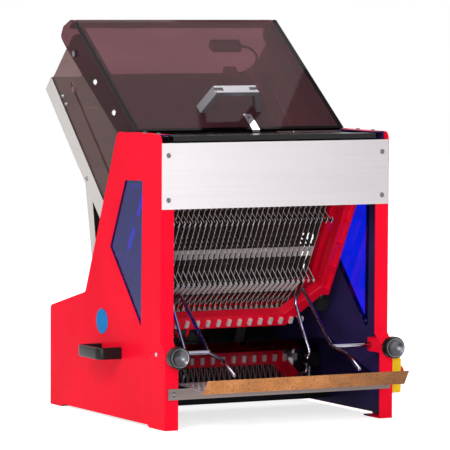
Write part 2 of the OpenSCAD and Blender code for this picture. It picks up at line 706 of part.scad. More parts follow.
module blade_frame(side) lean() color("firebrick") difference() {
    union() {
        across_frame(side) difference() {
            polygon(frame_out);
            polygon(frame_in);
        }
        both() for (v = lug_v(side)) {
            translate([frame_half - 10, min(0, frame_mid(side)), v - lug_h / 2])
                cube([guide_rod_x - frame_half + 10, abs(frame_mid(side)), lug_h]);
            translate([guide_rod_x, 0, v - lug_h / 2]) cylinder(h = lug_h, d = lug_d);
        }
        for (e = [-1, 1]) along_x(side * rod_x + e * (ear_gap + ear_t) / 2 - ear_t / 2,
            side * rod_x + e * (ear_gap + ear_t) / 2 + ear_t / 2) {
            translate([frame_mid(side) - ear_w / 2, -wrist_v])
                square([ear_w, wrist_v - bar_low_v - bar_h / 2 + 2]);
            translate([frame_mid(side), -wrist_v]) circle(d = ear_w);
        }
    }
    both() for (v = lug_v(side)) translate([guide_rod_x, 0, v - lug_h / 2 - 1])
        cylinder(h = lug_h + 2, d = bush_d + 2 * run_clear);
    translate([0, frame_mid(side), -wrist_v]) rotate([0, 90, 0])
        cylinder(h = 3 * rod_x, d = wrist_d + 2 * run_clear, center = true);
    both() for (k = [0 : 4]) translate([rail_in + 5, side == front ? frame_mid(side) - frame_d / 2 - 1
        : frame_mid(side) + frame_d / 2 - 5, -78 + k * 56]) cube([rail_w - 10, 6, 44]);
    for (x = own_x(side == front ? 0 : 1), v = [bar_low_z, bar_top_v])
        translate([x, frame_mid(side), v])
            cube([shank_w + 2 * run_clear, frame_d + 2, shank_h + 2 * run_clear], center = true);
}
module blade_frame_a() placed() blade_frame(front);
module blade_frame_b() placed() blade_frame(rear);

blade_low = bar_low_z - clip_h / 2 + 2;
blade_top = bar_top_v + clip_h / 2 - 2;
tooth_low = bar_low_z + clip_h + 8;
tooth_n = floor((bar_top_v - clip_h - 8 - tooth_low) / tooth_pitch);
blade_line = concat([[-blade_w / 2, blade_low], [blade_w / 2 - tooth_h, blade_low]],
    [for (i = [0 : tooth_n - 1]) each [[blade_w / 2 - tooth_h, tooth_low + i * tooth_pitch],
        [blade_w / 2, tooth_low + (i + 0.35) * tooth_pitch],
        [blade_w / 2, tooth_low + (i + 0.65) * tooth_pitch]]],
    [[blade_w / 2 - tooth_h, tooth_low + tooth_n * tooth_pitch],
        [blade_w / 2 - tooth_h, blade_top], [-blade_w / 2, blade_top]]);
module blades(first) color("silver") lean() for (x = own_x(first))
    along_x(x - blade_t / 2, x + blade_t / 2) difference() {
        polygon(blade_line);
        for (v = [bar_low_z, bar_top_v]) translate([0, v]) circle(d = rivet_d + 2 * run_clear);
    }
module blades_a() placed() blades(0);
module blades_b() placed() blades(1);

// A hook that passes through a cross bar and holds a blade end in its slit
module clip(side) {
    face = frame_gap + frame_d;
    difference() {
        union() {
            translate([-clip_w / 2, side == front ? -face - 5 : face, -clip_h / 2]) cube([clip_w, 5, clip_h]);
            translate([-shank_w / 2, side == front ? -face - 1 : frame_gap - 1, -shank_h / 2])
                cube([shank_w, frame_d + 2, shank_h]);
            translate([-clip_w / 2, side == front ? -frame_gap : -blade_w / 2 - 1, -clip_h / 2])
                cube([clip_w, frame_gap + blade_w / 2 + 1, clip_h]);
        }
        translate([-blade_t / 2 - run_clear, -blade_w / 2 - (side == front ? 0.1 : 2), -clip_h / 2 - 1])
            cube([blade_t + 2 * run_clear, blade_w + 2.1, clip_h + 2]);
    }
    rotate([0, 90, 0]) cylinder(h = clip_w, d = rivet_d, center = true);
}
module clips(side, first) color("lightgray") lean() for (x = own_x(first), v = [bar_low_z, bar_top_v])
    translate([x, 0, v]) clip(side);
module blade_clips_a() placed() clips(front, 0);
module blade_clips_b() placed() clips(rear, 1);

module frame_bearings(side) color("goldenrod") lean() {
    both() for (v = lug_v(side)) translate([guide_rod_x, 0, v - lug_h / 2 - 2]) difference() {
        cylinder(h = lug_h + 4, d = bush_d);
        translate([0, 0, -1]) cylinder(h = lug_h + 6, d = guide_rod_d + 2 * run_clear);
    }
    bar_x(side * rod_x - ear_gap / 2 - ear_t - 1, side * rod_x + ear_gap / 2 + ear_t + 1,
        frame_mid(side), -wrist_v, wrist_d);
}
module frame_bearings_a() placed() frame_bearings(front);
module frame_bearings_b() placed() frame_bearings(rear);

block_v = [-150, 222];
block_h = 28;
block_w = 22;
module frame_guide_rods() placed() color("silver") lean() both()
    translate([guide_rod_x, 0, block_v[0]]) cylinder(h = block_v[1] + block_h - block_v[0], d = guide_rod_d);
module guide_rod_blocks() placed() color("dimgray") lean() both() for (v = block_v)
    difference() {
        translate([guide_rod_x - block_w / 2, -block_w / 2, v])
            cube([inner_half - guide_rod_x + block_w / 2, block_w, block_h]);
        translate([guide_rod_x, 0, v - 1]) cylinder(h = block_h + 2, d = guide_rod_d + 2 * run_clear);
    }

// Combs: bent fingers between the blades

finger_x = [for (i = [0 : blade_count]) (i - blade_count / 2) * blade_pitch];
function by_blades(dy, dz) = [blade_y + dy, blade_z + dz];
low_rod_a = by_blades(73, 32);
low_rod_b = by_blades(81, -7);
low_knee = by_blades(37, -32);
low_upper = [low_rod_a, by_blades(6, 3), low_knee, by_blades(-1, -67)];
low_end = by_blades(63, -108);
low_brace = [low_knee, low_rod_b];
// Fingers further out have no lower leg, so that the corners of the front frame pass them
low_leg_half = bar_low_half + blade_pitch / 4;
eye_d = comb_rod_d + 8;

// A flat finger at x: strips along paths, with eyes that hang on the comb rods
module finger(x, paths, eyes) along_x(x - finger_t / 2, x + finger_t / 2) difference() {
    union() {
        for (p = paths) polygon(strip(p, -finger_w / 2, finger_w / 2));
        for (e = eyes) translate(e) circle(d = eye_d);
    }
    for (e = eyes) translate(e) circle(d = comb_rod_d + 2 * run_clear);
}
module lower_comb() placed() color("silver") {
    for (x = finger_x) if (abs(x) < low_leg_half)
        finger(x, [concat(low_upper, [low_end]), low_brace], [low_rod_a, low_rod_b]);
    for (x = finger_x) if (abs(x) >= low_leg_half)
        finger(x, [low_upper, low_brace], [low_rod_a, low_rod_b]);
    bar_x(-floor_half + sheet_t, floor_half - sheet_t, low_rod_a[0], low_rod_a[1], comb_rod_d);
    bar_x(-inner_half, inner_half, low_rod_b[0], low_rod_b[1], comb_rod_d);
}
top_rod = by_blades(9, 136);
top_path = [top_rod, by_blades(-3, 102), by_blades(-68, 60), by_blades(-75, 67)];
module upper_comb() placed() color("silver") {
    for (x = finger_x) finger(x, [top_path], [top_rod]);
    bar_x(-wall_in, wall_in, top_rod[0], top_rod[1], comb_rod_d);
}

// Drive

disc_face = rod_x - rod_t / 2 - 8;
disc_t = 12;
module connecting_rod(side) lean() color("gray") {
    a = [frame_mid(side), -wrist_v];
    b = [side * stroke / 2, -crank_v];
    along_x(side * rod_x - rod_t / 2, side * rod_x + rod_t / 2) difference() {
        union() {
            translate(a) circle(d = wrist_d + 12);
            translate(b) circle(d = crank_pin_d + 14);
            polygon(strip([a, b], -7, 7));
        }
        translate(a) circle(d = wrist_d + 2 * run_clear);
        translate(b) circle(d = crank_pin_d + 2 * run_clear);
    }
    if (side == front) bar_x(-rod_x - rod_t / 2 - 3, -disc_face - move_gap, b[0], b[1], crank_pin_d);
    else bar_x(disc_face + move_gap, rod_x + rod_t / 2 + 3, b[0], b[1], crank_pin_d);
}
module connecting_rod_a() placed() connecting_rod(front);
module connecting_rod_b() placed() connecting_rod(rear);

module crankshaft() placed() color("silver") {
    bar_x(-disc_face, disc_face, crank_y, crank_z, crankshaft_d);
    both() bar_x(disc_face - disc_t, disc_face, crank_y, crank_z, crank_disc_d);
}
bearing_x = 28;
bearing_w = 20;
bearing_d = crankshaft_d + 20;
module bearing_blocks() placed() color("dimgray") both() along_x(bearing_x, bearing_x + bearing_w)
    difference() {
        union() {
            translate([crank_y - bearing_d / 2 - 14, base_z]) square([bearing_d + 28, 14]);
            translate([crank_y - bearing_d / 2, base_z]) square([bearing_d, crank_z - base_z]);
            translate([crank_y, crank_z]) circle(d = bearing_d);
        }
        translate([crank_y, crank_z]) circle(d = crankshaft_d + 2 * run_clear);
    }

// A pulley along X with a thin web between hub and rim
module pulley(y, z, d, bore, hub_d, web_t) difference() {
    bar_x(-pulley_w / 2, pulley_w / 2, y, z, d);
    bar_x(-pulley_w, pulley_w, y, z, bore);
    for (e = [-1, 1]) translate([e * (web_t / 2 + pulley_w / 2), y, z]) rotate([0, 90, 0])
        difference() {
            cylinder(h = pulley_w, d = d - 12, center = true);
            cylinder(h = pulley_w + 2, d = hub_d, center = true);
        }
}
module crank_pulley() placed() color("darkgray")
    pulley(crank_y, crank_z, big_pulley_d, crankshaft_d + 2 * run_clear, crankshaft_d + 16, 8);

motor_x = 40;
motor_foot_l = motor_l / 2;
motor_foot_w = motor_d - 26;
motor_box = [70, 60, 26];
module motor_pulley() placed() color("darkgray") {
    bar_x(-pulley_w / 2, pulley_w / 2, motor_y, motor_z, motor_pulley_d);
    bar_x(-pulley_w / 2 - 3, motor_x + 30, motor_y, motor_z, motor_shaft_d);
}
module motor() placed() color("darkslategray") {
    difference() {
        union() {
            bar_x(motor_x + 14, motor_x + motor_l, motor_y, motor_z, motor_d);
            bar_x(motor_x, motor_x + 14, motor_y, motor_z, motor_d - 24);
            translate([motor_x + 50, motor_y - motor_foot_w / 2, base_z])
                cube([motor_foot_l, motor_foot_w, motor_z - base_z]);
            translate([motor_x + 60, motor_y - motor_box[1] / 2, motor_z + motor_d / 2 - 8]) cube(motor_box);
        }
        bar_x(motor_x - 1, motor_x + 36, motor_y, motor_z, motor_shaft_d + 2 * run_clear);
        for (k = [0 : 5]) translate([motor_x + motor_l - 34 + k * 5, motor_y, motor_z]) rotate([0, 90, 0])
            difference() {
                cylinder(h = 2, d = motor_d + 2);
                translate([0, 0, -1]) cylinder(h = 4, d = motor_d - 8);
            }
    }
}

// Outline of a belt round both pulleys at distance e from their rims
belt_turn = atan2(motor_z - crank_z, motor_y - crank_y);
belt_span = norm([motor_y - crank_y, motor_z - crank_z]);
belt_lap = acos((big_pulley_d - motor_pulley_d) / 2 / belt_span);
function belt_line(e, n = 24) = concat(
    [for (i = [0 : n]) let (q = belt_turn + belt_lap + (360 - 2 * belt_lap) * i / n)
        [crank_y, crank_z] + (big_pulley_d / 2 + e) * [cos(q), sin(q)]],
    [for (i = [0 : n]) let (q = belt_turn - belt_lap + 2 * belt_lap * i / n)
        [motor_y, motor_z] + (motor_pulley_d / 2 + e) * [cos(q), sin(q)]]);
module drive_belt() placed() color("black") along_x(-pulley_w / 2 + 3, pulley_w / 2 - 3) difference() {
    polygon(belt_line(move_gap + belt_t));
    polygon(belt_line(move_gap));
}

// Handles, knobs, guides and small fittings

module handle() color("black") translate([0, 0, handle_z - handle_bar / 2]) linear_extrude(handle_bar)
    difference() {
        polygon(rounded([[half_w, handle_y, 0], [half_w + handle_out, handle_y, 9],
            [half_w + handle_out, handle_y + handle_l, 9], [half_w, handle_y + handle_l, 0]]));
        polygon(rounded([[half_w - 1, handle_y + handle_t, 0],
            [half_w + handle_out - handle_t, handle_y + handle_t, 5],
            [half_w + handle_out - handle_t, handle_y + handle_l - handle_t, 5],
            [half_w - 1, handle_y + handle_l - handle_t, 0]]));
    }
module right_handle() placed() handle();
module left_handle() placed() mirror([1, 0, 0]) handle();

clamp_z = [guide_z - 14, guide_z + 14];
module clamp_block() color("dimgray") difference() {
    along_x(half_w - column_w + 1, inner_half) polygon([[plate_t, clamp_z[0]],
        [guide_y + 12, clamp_z[0]], [guide_y + 12, clamp_z[1]], [plate_t + 15, clamp_z[1]],
        [plate_t, front_step_z - front_setback - 3]]);
    bar_x(half_w - 60, half_w, guide_y, guide_z, guide_d + 2 * run_clear);
    translate([knob_x, 0, knob_z]) rotate([-90, 0, 0]) cylinder(h = guide_y, d = knob_stud_d + 2 * run_clear);
}
module guide_clamp_blocks() placed() both() clamp_block();

knob_x = half_w - column_w / 2;
knob_z = guide_z - 1;
knob_gap = 6;
module knob() color("black") translate([knob_x, 0, knob_z]) rotate([90, 0, 0]) {
    translate([0, 0, knob_gap]) rotate_extrude() polygon([[0, 0], [knob_d * 0.26, 0], [knob_d * 0.26, 6],
        [knob_d * 0.42, 10], [knob_d / 2, 14], [knob_d / 2, knob_l - 3], [knob_d / 2 - 2, knob_l],
        [knob_d / 2 - 4, knob_l], [knob_d * 0.2, knob_l - 9], [0, knob_l - 10]]);
    translate([0, 0, guide_d / 2 + move_gap - guide_y])
        cylinder(h = guide_y - guide_d / 2 - move_gap + knob_gap + 2, d = knob_stud_d);
}
module right_knob() placed() knob();
module left_knob() placed() mirror([1, 0, 0]) knob();

// Bends of the wire of a loaf guide, [y, z, corner radius], from end to end
wire_bends = [[-68, 110, 0], [-20, 136, 24], [guide_y - 1, guide_z - 1, 30], [166, 255, 14],
    [196, 226, 14], [161, 168, 30], [118, 104, 10], [140, 113, 0]];
wire_path = [for (q = rounded_path(wire_bends)) [guide_x, q[0], q[1]]];
module loaf_guide() color("silver") {
    bar_x(guide_x - 1, half_w, guide_y, guide_z, guide_d);
    tube(wire_path, wire_d, [1, 0, 0]);
}
module right_guide() placed() loaf_guide();
module left_guide() placed() mirror([1, 0, 0]) loaf_guide();

stop_box_y = 17;
stop_box_z = 47;
stop_stem_d = 20;
module stop_box() placed() color("gold") difference() {
    translate([0, stop_box_y, stop_box_z]) along_x(half_w, half_w + stop_box_d)
        polygon(rounded([[0, 0, 8], [stop_box_l, 0, 8], [stop_box_l, stop_box_h, 8], [0, stop_box_h, 8]]));
    bar_x(half_w + stop_box_d - 14, half_w + stop_box_d + 1, stop_box_y + stop_box_l / 2,
        stop_box_z + stop_box_h / 2, stop_stem_d + 2 * run_clear);
}
stop_rise = handle_out - stop_box_d;
module stop_button() placed() color("red") translate([half_w + stop_box_d, stop_box_y + stop_box_l / 2,
    stop_box_z + stop_box_h / 2]) rotate([0, 90, 0]) rotate_extrude() polygon([[0, -8], [stop_stem_d / 2, -8],
        [stop_stem_d / 2, stop_travel + 2], [stop_button_d / 2 - 1, stop_travel + 2],
        [stop_button_d / 2, stop_travel + 4], [stop_button_d / 2, stop_rise - 7],
        [stop_button_d / 2 - 4, stop_rise - 2], [stop_button_d / 4, stop_rise], [0, stop_rise]]);

disc_thick = 1.5;
disc_at = [278, 192];
module blue_disc() placed() color("dodgerblue")
    bar_x(-half_w - disc_thick, -half_w, disc_at[0], disc_at[1], disc_d);

// Screw heads on the chute: two on each wall and one on each floor flange
chute_screw_at = [for (s = [[wall_out, floor_l - 86, -9], [wall_out, floor_l - 63, -9],
    [floor_half, hopper_s, floor_flange - 14]])
    concat(s[0], floor_point(s[1], s[2]))];
module casing_screws() placed() color("silver") {
    for (s = panel_screws) translate([s[0], front_setback - sheet_t, s[1]]) rotate([90, 0, 0]) screw(sheet_t);
    for (x = [-1, 1]) translate([x * (cross_bar_half - 12), -sheet_t, cross_bar_screw_z])
        rotate([90, 0, 0]) screw(sheet_t);
    both() for (y = [60, 120]) translate([half_w - column_w / 2, y, plate_h])
        cylinder(h = head_h, d1 = head_d, d2 = head_d * 0.6);
    both() pivot_bolt();
    both() for (p = chute_screw_at) translate([p[0], p[1], p[2]]) rotate([0, 90, 0])
        cylinder(h = head_h, d1 = head_d, d2 = head_d * 0.6);
}

// What is drawn

left_side_plate();
right_side_plate();
left_window_pane();
right_window_pane();
front_panel();
top_front_bar();
top_cover();
cross_bar();
perforated_shelf();
shelf_lip();
discharge_slide();
drive_bulkhead();
base_plate();
rear_cover();
housing_cover();
hopper_back_panel();
chute_floor();
left_chute_wall();
right_chute_wall();
chute_spacers();
lower_comb();
upper_comb();
frame_guide_rods();
guide_rod_blocks();
bearing_blocks();
motor();
drive_belt();
left_handle();
right_handle();
stop_box();
guide_clamp_blocks();
casing_screws();
blue_disc();
left_knob();
right_knob();
stop_button();
cable_gland();
lid();
lid_seal();
lid_handle();
lid_fittings();
safety_sensor();
sensor_cable();
pusher();
pusher_bracket();
blade_frame_a();
blades_a();
blade_clips_a();
blade_frame_b();
blades_b();
blade_clips_b();
frame_bearings_a();
frame_bearings_b();
connecting_rod_a();
connecting_rod_b();
crankshaft();
crank_pulley();
motor_pulley();
left_guide();
right_guide();
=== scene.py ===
"""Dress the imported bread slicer: finishes for its solids, smooth wires, knobs and grips, a studio.

Shapes are in millimetres in the profile frame of the part (y = 0 on the lower front face of the
columns, z = 0 on the floor). `row` turns them into the metres of the shared frame. Finishes work
in metres on object coordinates.
"""
from __future__ import annotations

import logging
from dataclasses import dataclass
from enum import Enum

import bpy
import numpy as np
from mathutils import Matrix

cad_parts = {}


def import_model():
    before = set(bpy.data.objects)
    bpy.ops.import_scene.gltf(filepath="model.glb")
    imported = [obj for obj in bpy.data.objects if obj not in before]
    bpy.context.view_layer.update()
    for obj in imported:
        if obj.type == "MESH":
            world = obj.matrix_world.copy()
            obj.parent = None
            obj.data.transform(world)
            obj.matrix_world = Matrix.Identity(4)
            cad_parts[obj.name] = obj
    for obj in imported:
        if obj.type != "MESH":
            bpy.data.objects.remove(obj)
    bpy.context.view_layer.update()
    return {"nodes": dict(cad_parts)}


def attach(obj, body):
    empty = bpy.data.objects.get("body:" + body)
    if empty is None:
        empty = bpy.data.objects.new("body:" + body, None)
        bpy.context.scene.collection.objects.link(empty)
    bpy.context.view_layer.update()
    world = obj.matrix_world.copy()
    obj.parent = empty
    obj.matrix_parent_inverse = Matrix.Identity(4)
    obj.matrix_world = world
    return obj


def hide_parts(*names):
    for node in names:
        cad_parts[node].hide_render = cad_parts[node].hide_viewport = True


LOG = logging.getLogger("bread_slicer")
Array = np.ndarray
Socket = bpy.types.NodeSocket
Span = tuple[float, float]
Point = tuple[float, float, float]
Color = tuple[float, float, float]
Stops = tuple[tuple[float, Color], ...]

# Depth of the object's middle behind the front face of the columns, and a millimetre in metres
Y_MID = 235.2956
MM = 0.001

# Share of each finer octave in a noise, values between which most of the noise lies, and places of
# its two tones on a ramp
NOISE_SHARE = 0.55
NOISE_RANGE: Span = (0.25, 0.75)
TONE_PLACES: Span = (0.3, 0.7)

# Features a metre and depth of the fine scratches in steel, and rays that soften an edge
SCRATCH_SCALE = 160.0
SCRATCH_DEPTH = 0.000004
EDGE_SAMPLES = 4

WHITE: Color = (1.0, 1.0, 1.0)


def linear(code: str) -> Color:
    """Turn an sRGB hex colour into linear light, by the sRGB curve.

    Args:
        code: Six hex digits, red first.

    Returns:
        Linear red, green and blue.
    """
    c = np.array([int(code[i:i + 2], 16) for i in (0, 2, 4)]) / 255
    return tuple(np.where(c <= 0.04045, c / 12.92, ((c + 0.055) / 1.055) ** 2.4).tolist())


def row(points: Array) -> Array:
    """Move profile-frame millimetres to shared-frame metres.

    Args:
        points: Array of x, y, z in its last axis.

    Returns:
        The same points in metres, centred on the part's origin.
    """
    return (np.asarray(points, float) - [0, Y_MID, 0]) * MM


@dataclass(frozen=True)
class LidFrame:
    """The lid's own frame at its front edge: s up along the lid, h square to it."""

    y: float = 170.0
    z: float = 577.0
    slope: float = 36.8

    @property
    def run(self) -> float:
        """Cosine of the slope."""
        return float(np.cos(np.radians(self.slope)))

    @property
    def rise(self) -> float:
        """Sine of the slope."""
        return float(np.sin(np.radians(self.slope)))

    def at(self, x: Array | float, s: Array | float, h: Array | float) -> Array:
        """Place lid coordinates in the profile frame.

        Args:
            x: Sideways, as in the profile frame.
            s: Up along the lid.
            h: Square to the lid, outwards.

        Returns:
            Points with x, y, z in the last axis.
        """
        y = self.y + s * self.run - h * self.rise
        z = self.z + s * self.rise + h * self.run
        return np.stack([x, y, z], -1)


# Finishes


class Grain(Enum):
    """Direction in which a metal was brushed or rolled, as features a metre on each axis."""

    ALONG_X = (3.0, 260.0, 260.0)
    ALONG_Z = (260.0, 260.0, 3.0)


class Nodes:
    """A node tree, with short ways to add to it."""

    def __init__(self, tree: bpy.types.NodeTree) -> None:
        """Keep the tree."""
        self.tree = tree

    def add(self, kind: str, inputs: dict | None = None, **settings: object) -> bpy.types.Node:
        """Add one node.

        Args:
            kind: Node type without its ShaderNode prefix.
            inputs: Socket values by name.
            **settings: Attributes of the node itself.

        Returns:
            The new node.
        """
        node = self.tree.nodes.new("ShaderNode" + kind)
        for key, value in settings.items():
            setattr(node, key, value)
        for key, value in (inputs or {}).items():
            node.inputs[key].default_value = value
        return node

    def join(self, source: Socket, target: Socket) -> None:
        """Link one output to one input."""
        self.tree.links.new(source, target)

    def feed(self, value: float | Socket, target: Socket) -> None:
        """Give an input a plain number, or a link.

        Args:
            value: The number, or the output to link.
            target: The input.
        """
        if isinstance(value, float):
            target.default_value = value
        else:
            self.join(value, target)

    def math(self, kind: str, value: Socket, other: float | Socket = 0.0) -> Socket:
        """Work out one sum.

        Args:
            kind: Blender's name of the operation.
            value: Its first value.
            other: Its second value, a number or a socket.

        Returns:
            The result.
        """
        node = self.add("Math", operation=kind)
        self.join(value, node.inputs[0])
        self.feed(other, node.inputs[1])
        return node.outputs[0]

    def all_of(self, *masks: Socket) -> Socket:
        """Multiply masks, so that the result is 1 where every one of them is 1.

        Args:
            *masks: Values of 0 or 1.

        Returns:
            The product.
        """
        share = masks[0]
        for mask in masks[1:]:
            share = self.math("MULTIPLY", share, mask)
        return share

    def seen(self) -> Socket:
        """Return 1 for rays from the camera, from a gloss or through a clear sheet, otherwise 0.

        Returns:
            The value for the ray that is being traced.
        """
        rays = self.add("LightPath").outputs
        share = rays["Is Camera Ray"]
        for name in ("Is Glossy Ray", "Is Transmission Ray"):
            share = self.math("MAXIMUM", share, rays[name])
        return share


class Sheet(Nodes):
    """The nodes round one Principled shader."""

    def __init__(self, name: str) -> None:
        """Open an empty material with its shader and its object coordinates.

        Args:
            name: Name of the material.
        """
        self.material = bpy.data.materials.new(name)
        self.material.use_nodes = True
        super().__init__(self.material.node_tree)
        self.shader = self.tree.nodes["Principled BSDF"]
        self.place = self.add("TexCoord")

    def set(self, **values: object) -> None:
        """Set plain socket values of the shader, with _ for the spaces of a name."""
        for key, value in values.items():
            self.shader.inputs[key.replace("_", " ")].default_value = value

    def axes(self, kind: str = "Object") -> list[Socket]:
        """Return x, y and z of the object coordinates, or of the face's normal.

        Args:
            kind: Object or Normal.

        Returns:
            The three values.
        """
        node = self.add("SeparateXYZ")
        self.join(self.place.outputs[kind], node.inputs[0])
        return list(node.outputs)

    def noise(self, scale: float | Point, detail: float = 3.0) -> Socket:
        """Add a noise on object coordinates.

        Args:
            scale: Features a metre, one number or one for each axis.
            detail: Octaves of the noise.

        Returns:
            The noise value.
        """
        stretch = scale if isinstance(scale, tuple) else (scale,) * 3
        mapping = self.add("Mapping", {"Scale": stretch})
        noise = self.add("TexNoise", {"Scale": 1.0, "Detail": detail, "Roughness": NOISE_SHARE})
        self.join(self.place.outputs["Object"], mapping.inputs["Vector"])
        self.join(mapping.outputs["Vector"], noise.inputs["Vector"])
        return noise.outputs["Fac"]

    def ramp(self, value: Socket, stops: Stops) -> Socket:
        """Colour a value by a ramp.

        Args:
            value: The value to colour.
            stops: Places and colours, in rising order.

        Returns:
            The ramp's colour.
        """
        node = self.add("ValToRGB")
        band = node.color_ramp
        while len(band.elements) < len(stops):
            band.elements.new(0.5)
        for element, (place, color) in zip(band.elements, stops):
            element.position = place
            element.color = (*color, 1.0)
        self.join(value, node.inputs["Fac"])
        return node.outputs["Color"]

    def tones(self, value: Socket, low: Color, high: Color) -> Socket:
        """Colour a noise from one tone to another."""
        return self.ramp(value, tuple(zip(TONE_PLACES, (low, high))))

    def blend(self, share: float | Socket, low: Socket, high: Socket, kind: str = "MIX") -> Socket:
        """Blend two colours.

        Args:
            share: Share of the second colour, 0 to 1, a number or a socket.
            low: First colour.
            high: Second colour.
            kind: Blender's name of the blend.

        Returns:
            The blended colour.
        """
        node = self.add("MixRGB", blend_type=kind)
        self.feed(share, node.inputs[0])
        self.join(low, node.inputs[1])
        self.join(high, node.inputs[2])
        return node.outputs[0]

    def fade(self, color: Socket, stops: Stops, half: float = 0.22) -> Socket:
        """Multiply a colour by a ramp that runs across the machine, from left to right.

        Args:
            color: The colour to change.
            stops: Places from 0 at the left to 1 at the right, and their factors.
            half: Half the width of the run.

        Returns:
            The faded colour.
        """
        flow = self.add("MapRange", {"From Min": -half, "From Max": half})
        self.join(self.axes()[0], flow.inputs["Value"])
        return self.blend(1.0, color, self.ramp(flow.outputs["Result"], stops), "MULTIPLY")

    def color(self, color: Socket) -> None:
        """Give the shader its colour."""
        self.join(color, self.shader.inputs["Base Color"])

    def gloss(self, value: Socket, low: float, high: float) -> None:
        """Let the shader's roughness follow a noise, from one number to another.

        Args:
            value: The noise.
            low: Roughness where the noise is low.
            high: Roughness where the noise is high.
        """
        start, end = NOISE_RANGE
        span = {"From Min": start, "From Max": end, "To Min": low, "To Max": high}
        node = self.add("MapRange", span)
        self.join(value, node.inputs["Value"])
        self.join(node.outputs["Result"], self.shader.inputs["Roughness"])

    def relief(self, height: Socket, depth: float, edge: float) -> None:
        """Give the shader a bumped normal with softened edges.

        Args:
            height: Height of the relief, 0 to 1.
            depth: Depth of the relief.
            edge: Radius that edges appear to have.
        """
        bump = self.add("Bump", {"Strength": 1.0, "Distance": depth})
        self.join(height, bump.inputs["Height"])
        if edge > 0:
            bevel = self.add("Bevel", {"Radius": edge}, samples=EDGE_SAMPLES)
            self.join(bevel.outputs["Normal"], bump.inputs["Normal"])
        self.join(bump.outputs["Normal"], self.shader.inputs["Normal"])


@dataclass(frozen=True)
class Finish:
    """What every finish has: a name, a colour, a roughness and the radius of its edges.

    In the finishes below, a `scale` is in features a metre. A `tone` or a `haze` holds two factors
    of the colour or the roughness: where the noise is low, and where it is high.
    """

    name: str
    color: Color
    roughness: float = 0.4
    edge: float = 0.0008

    def material(self) -> bpy.types.Material:
        """Return the finish's material, made on first use.

        Returns:
            The material.
        """
        name = f"{self.name}_finish"
        known = bpy.data.materials.get(name)
        if known:
            return known
        sheet = Sheet(name)
        self.dress(sheet)
        return sheet.material

    def tints(self, low: float, high: float) -> tuple[Color, Color]:
        """Return the colour at two factors of its brightness."""
        return tuple(tuple(min(1.0, c * factor) for c in self.color) for factor in (low, high))

    def glosses(self, low: float, high: float) -> Span:
        """Return the roughness at two factors."""
        return self.roughness * low, self.roughness * high

    def dress(self, sheet: Sheet) -> None:
        """Lay the finish on a sheet."""
        raise NotImplementedError


@dataclass(frozen=True)
class Paint(Finish):
    """Sprayed paint: orange peel, a slow drift of colour and a low gloss."""

    peel: float = 0.00003
    drift: float = 0.12
    gloss: float = 0.05
    drift_scale: float = 5.0
    haze_scale: float = 22.0
    peel_scale: float = 420.0
    haze: Span = (0.85, 1.2)

    def coat(self, sheet: Sheet) -> Socket:
        """Return the paint's colour, which drifts slowly."""
        slow = sheet.noise(self.drift_scale)
        return sheet.tones(slow, *self.tints(1 - self.drift, 1 + self.drift))

    def dress(self, sheet: Sheet) -> None:
        """Lay the paint: peel in the relief, drift in the colour, cloudy gloss.

        Args:
            sheet: The sheet of the material.
        """
        sheet.color(self.coat(sheet))
        sheet.gloss(sheet.noise(self.haze_scale), *self.glosses(*self.haze))
        sheet.set(Specular_IOR_Level=self.gloss)
        sheet.relief(sheet.noise(self.peel_scale), self.peel, self.edge)


@dataclass(frozen=True)
class InsideShadedPaint(Paint):
    """Paint outside, and painted shade in a dark colour on the faces that look into the machine.

    A point is inside where it is nearer to the middle plane than the wall and behind the front,
    and its face doesn't look back or straight up: the normal's y and z stay below their limits.
    """

    # Dark colour of the painted shade on the inner faces; its noise scale and spread follow
    inner_shade: Color = (0.024, 0.016, 0.07)
    wall: float = 0.2545
    front: float = -0.2
    back_limit: float = 0.3
    up_limit: float = 0.9
    inner_shade_scale: float = 9.0
    inner_shade_haze: float = 1.6

    def coat(self, sheet: Sheet) -> Socket:
        """Return the paint's colour outside and the painted shade's colour inside.

        Args:
            sheet: The sheet of the material.

        Returns:
            The colour.
        """
        x, y, _ = sheet.axes()
        _, back, up = sheet.axes("Normal")
        inside = sheet.all_of(sheet.math("LESS_THAN", sheet.math("ABSOLUTE", x), self.wall),
                              sheet.math("GREATER_THAN", y, self.front),
                              sheet.math("LESS_THAN", back, self.back_limit),
                              sheet.math("LESS_THAN", up, self.up_limit))
        # Painted shade: inner faces get a dark colour that stands in for the shade inside the machine
        hazy = tuple(self.inner_shade_haze * c for c in self.inner_shade)
        inner_shade = sheet.tones(sheet.noise(self.inner_shade_scale), self.inner_shade, hazy)
        return sheet.blend(inside, super().coat(sheet), inner_shade)


@dataclass(frozen=True)
class Brushed(Finish):
    """Brushed or rolled metal: fine streaks in gloss, tone and relief.

    The colour is made darker towards the right of the machine: a painted shade of light falling off
    across it.
    """

    grain: Grain = Grain.ALONG_X
    contrast: float = 0.12
    metal: float = 1.0
    shade_fall: float = 0.0
    octaves: float = 4.0
    depth: float = 0.00001
    haze: Span = (0.75, 1.3)

    def dress(self, sheet: Sheet) -> None:
        """Lay the streaks of the brush.

        Args:
            sheet: The sheet of the material.
        """
        streak = sheet.noise(self.grain.value, self.octaves)
        tone = sheet.tones(streak, *self.tints(1 - self.contrast, 1 + self.contrast))
        # Painted shade: the colour darkens towards the machine's right
        sheet.color(sheet.fade(tone, ((0.0, WHITE), (1.0, (1 - self.shade_fall,) * 3))))
        sheet.gloss(streak, *self.glosses(*self.haze))
        sheet.set(Metallic=self.metal)
        sheet.relief(streak, self.depth, self.edge)


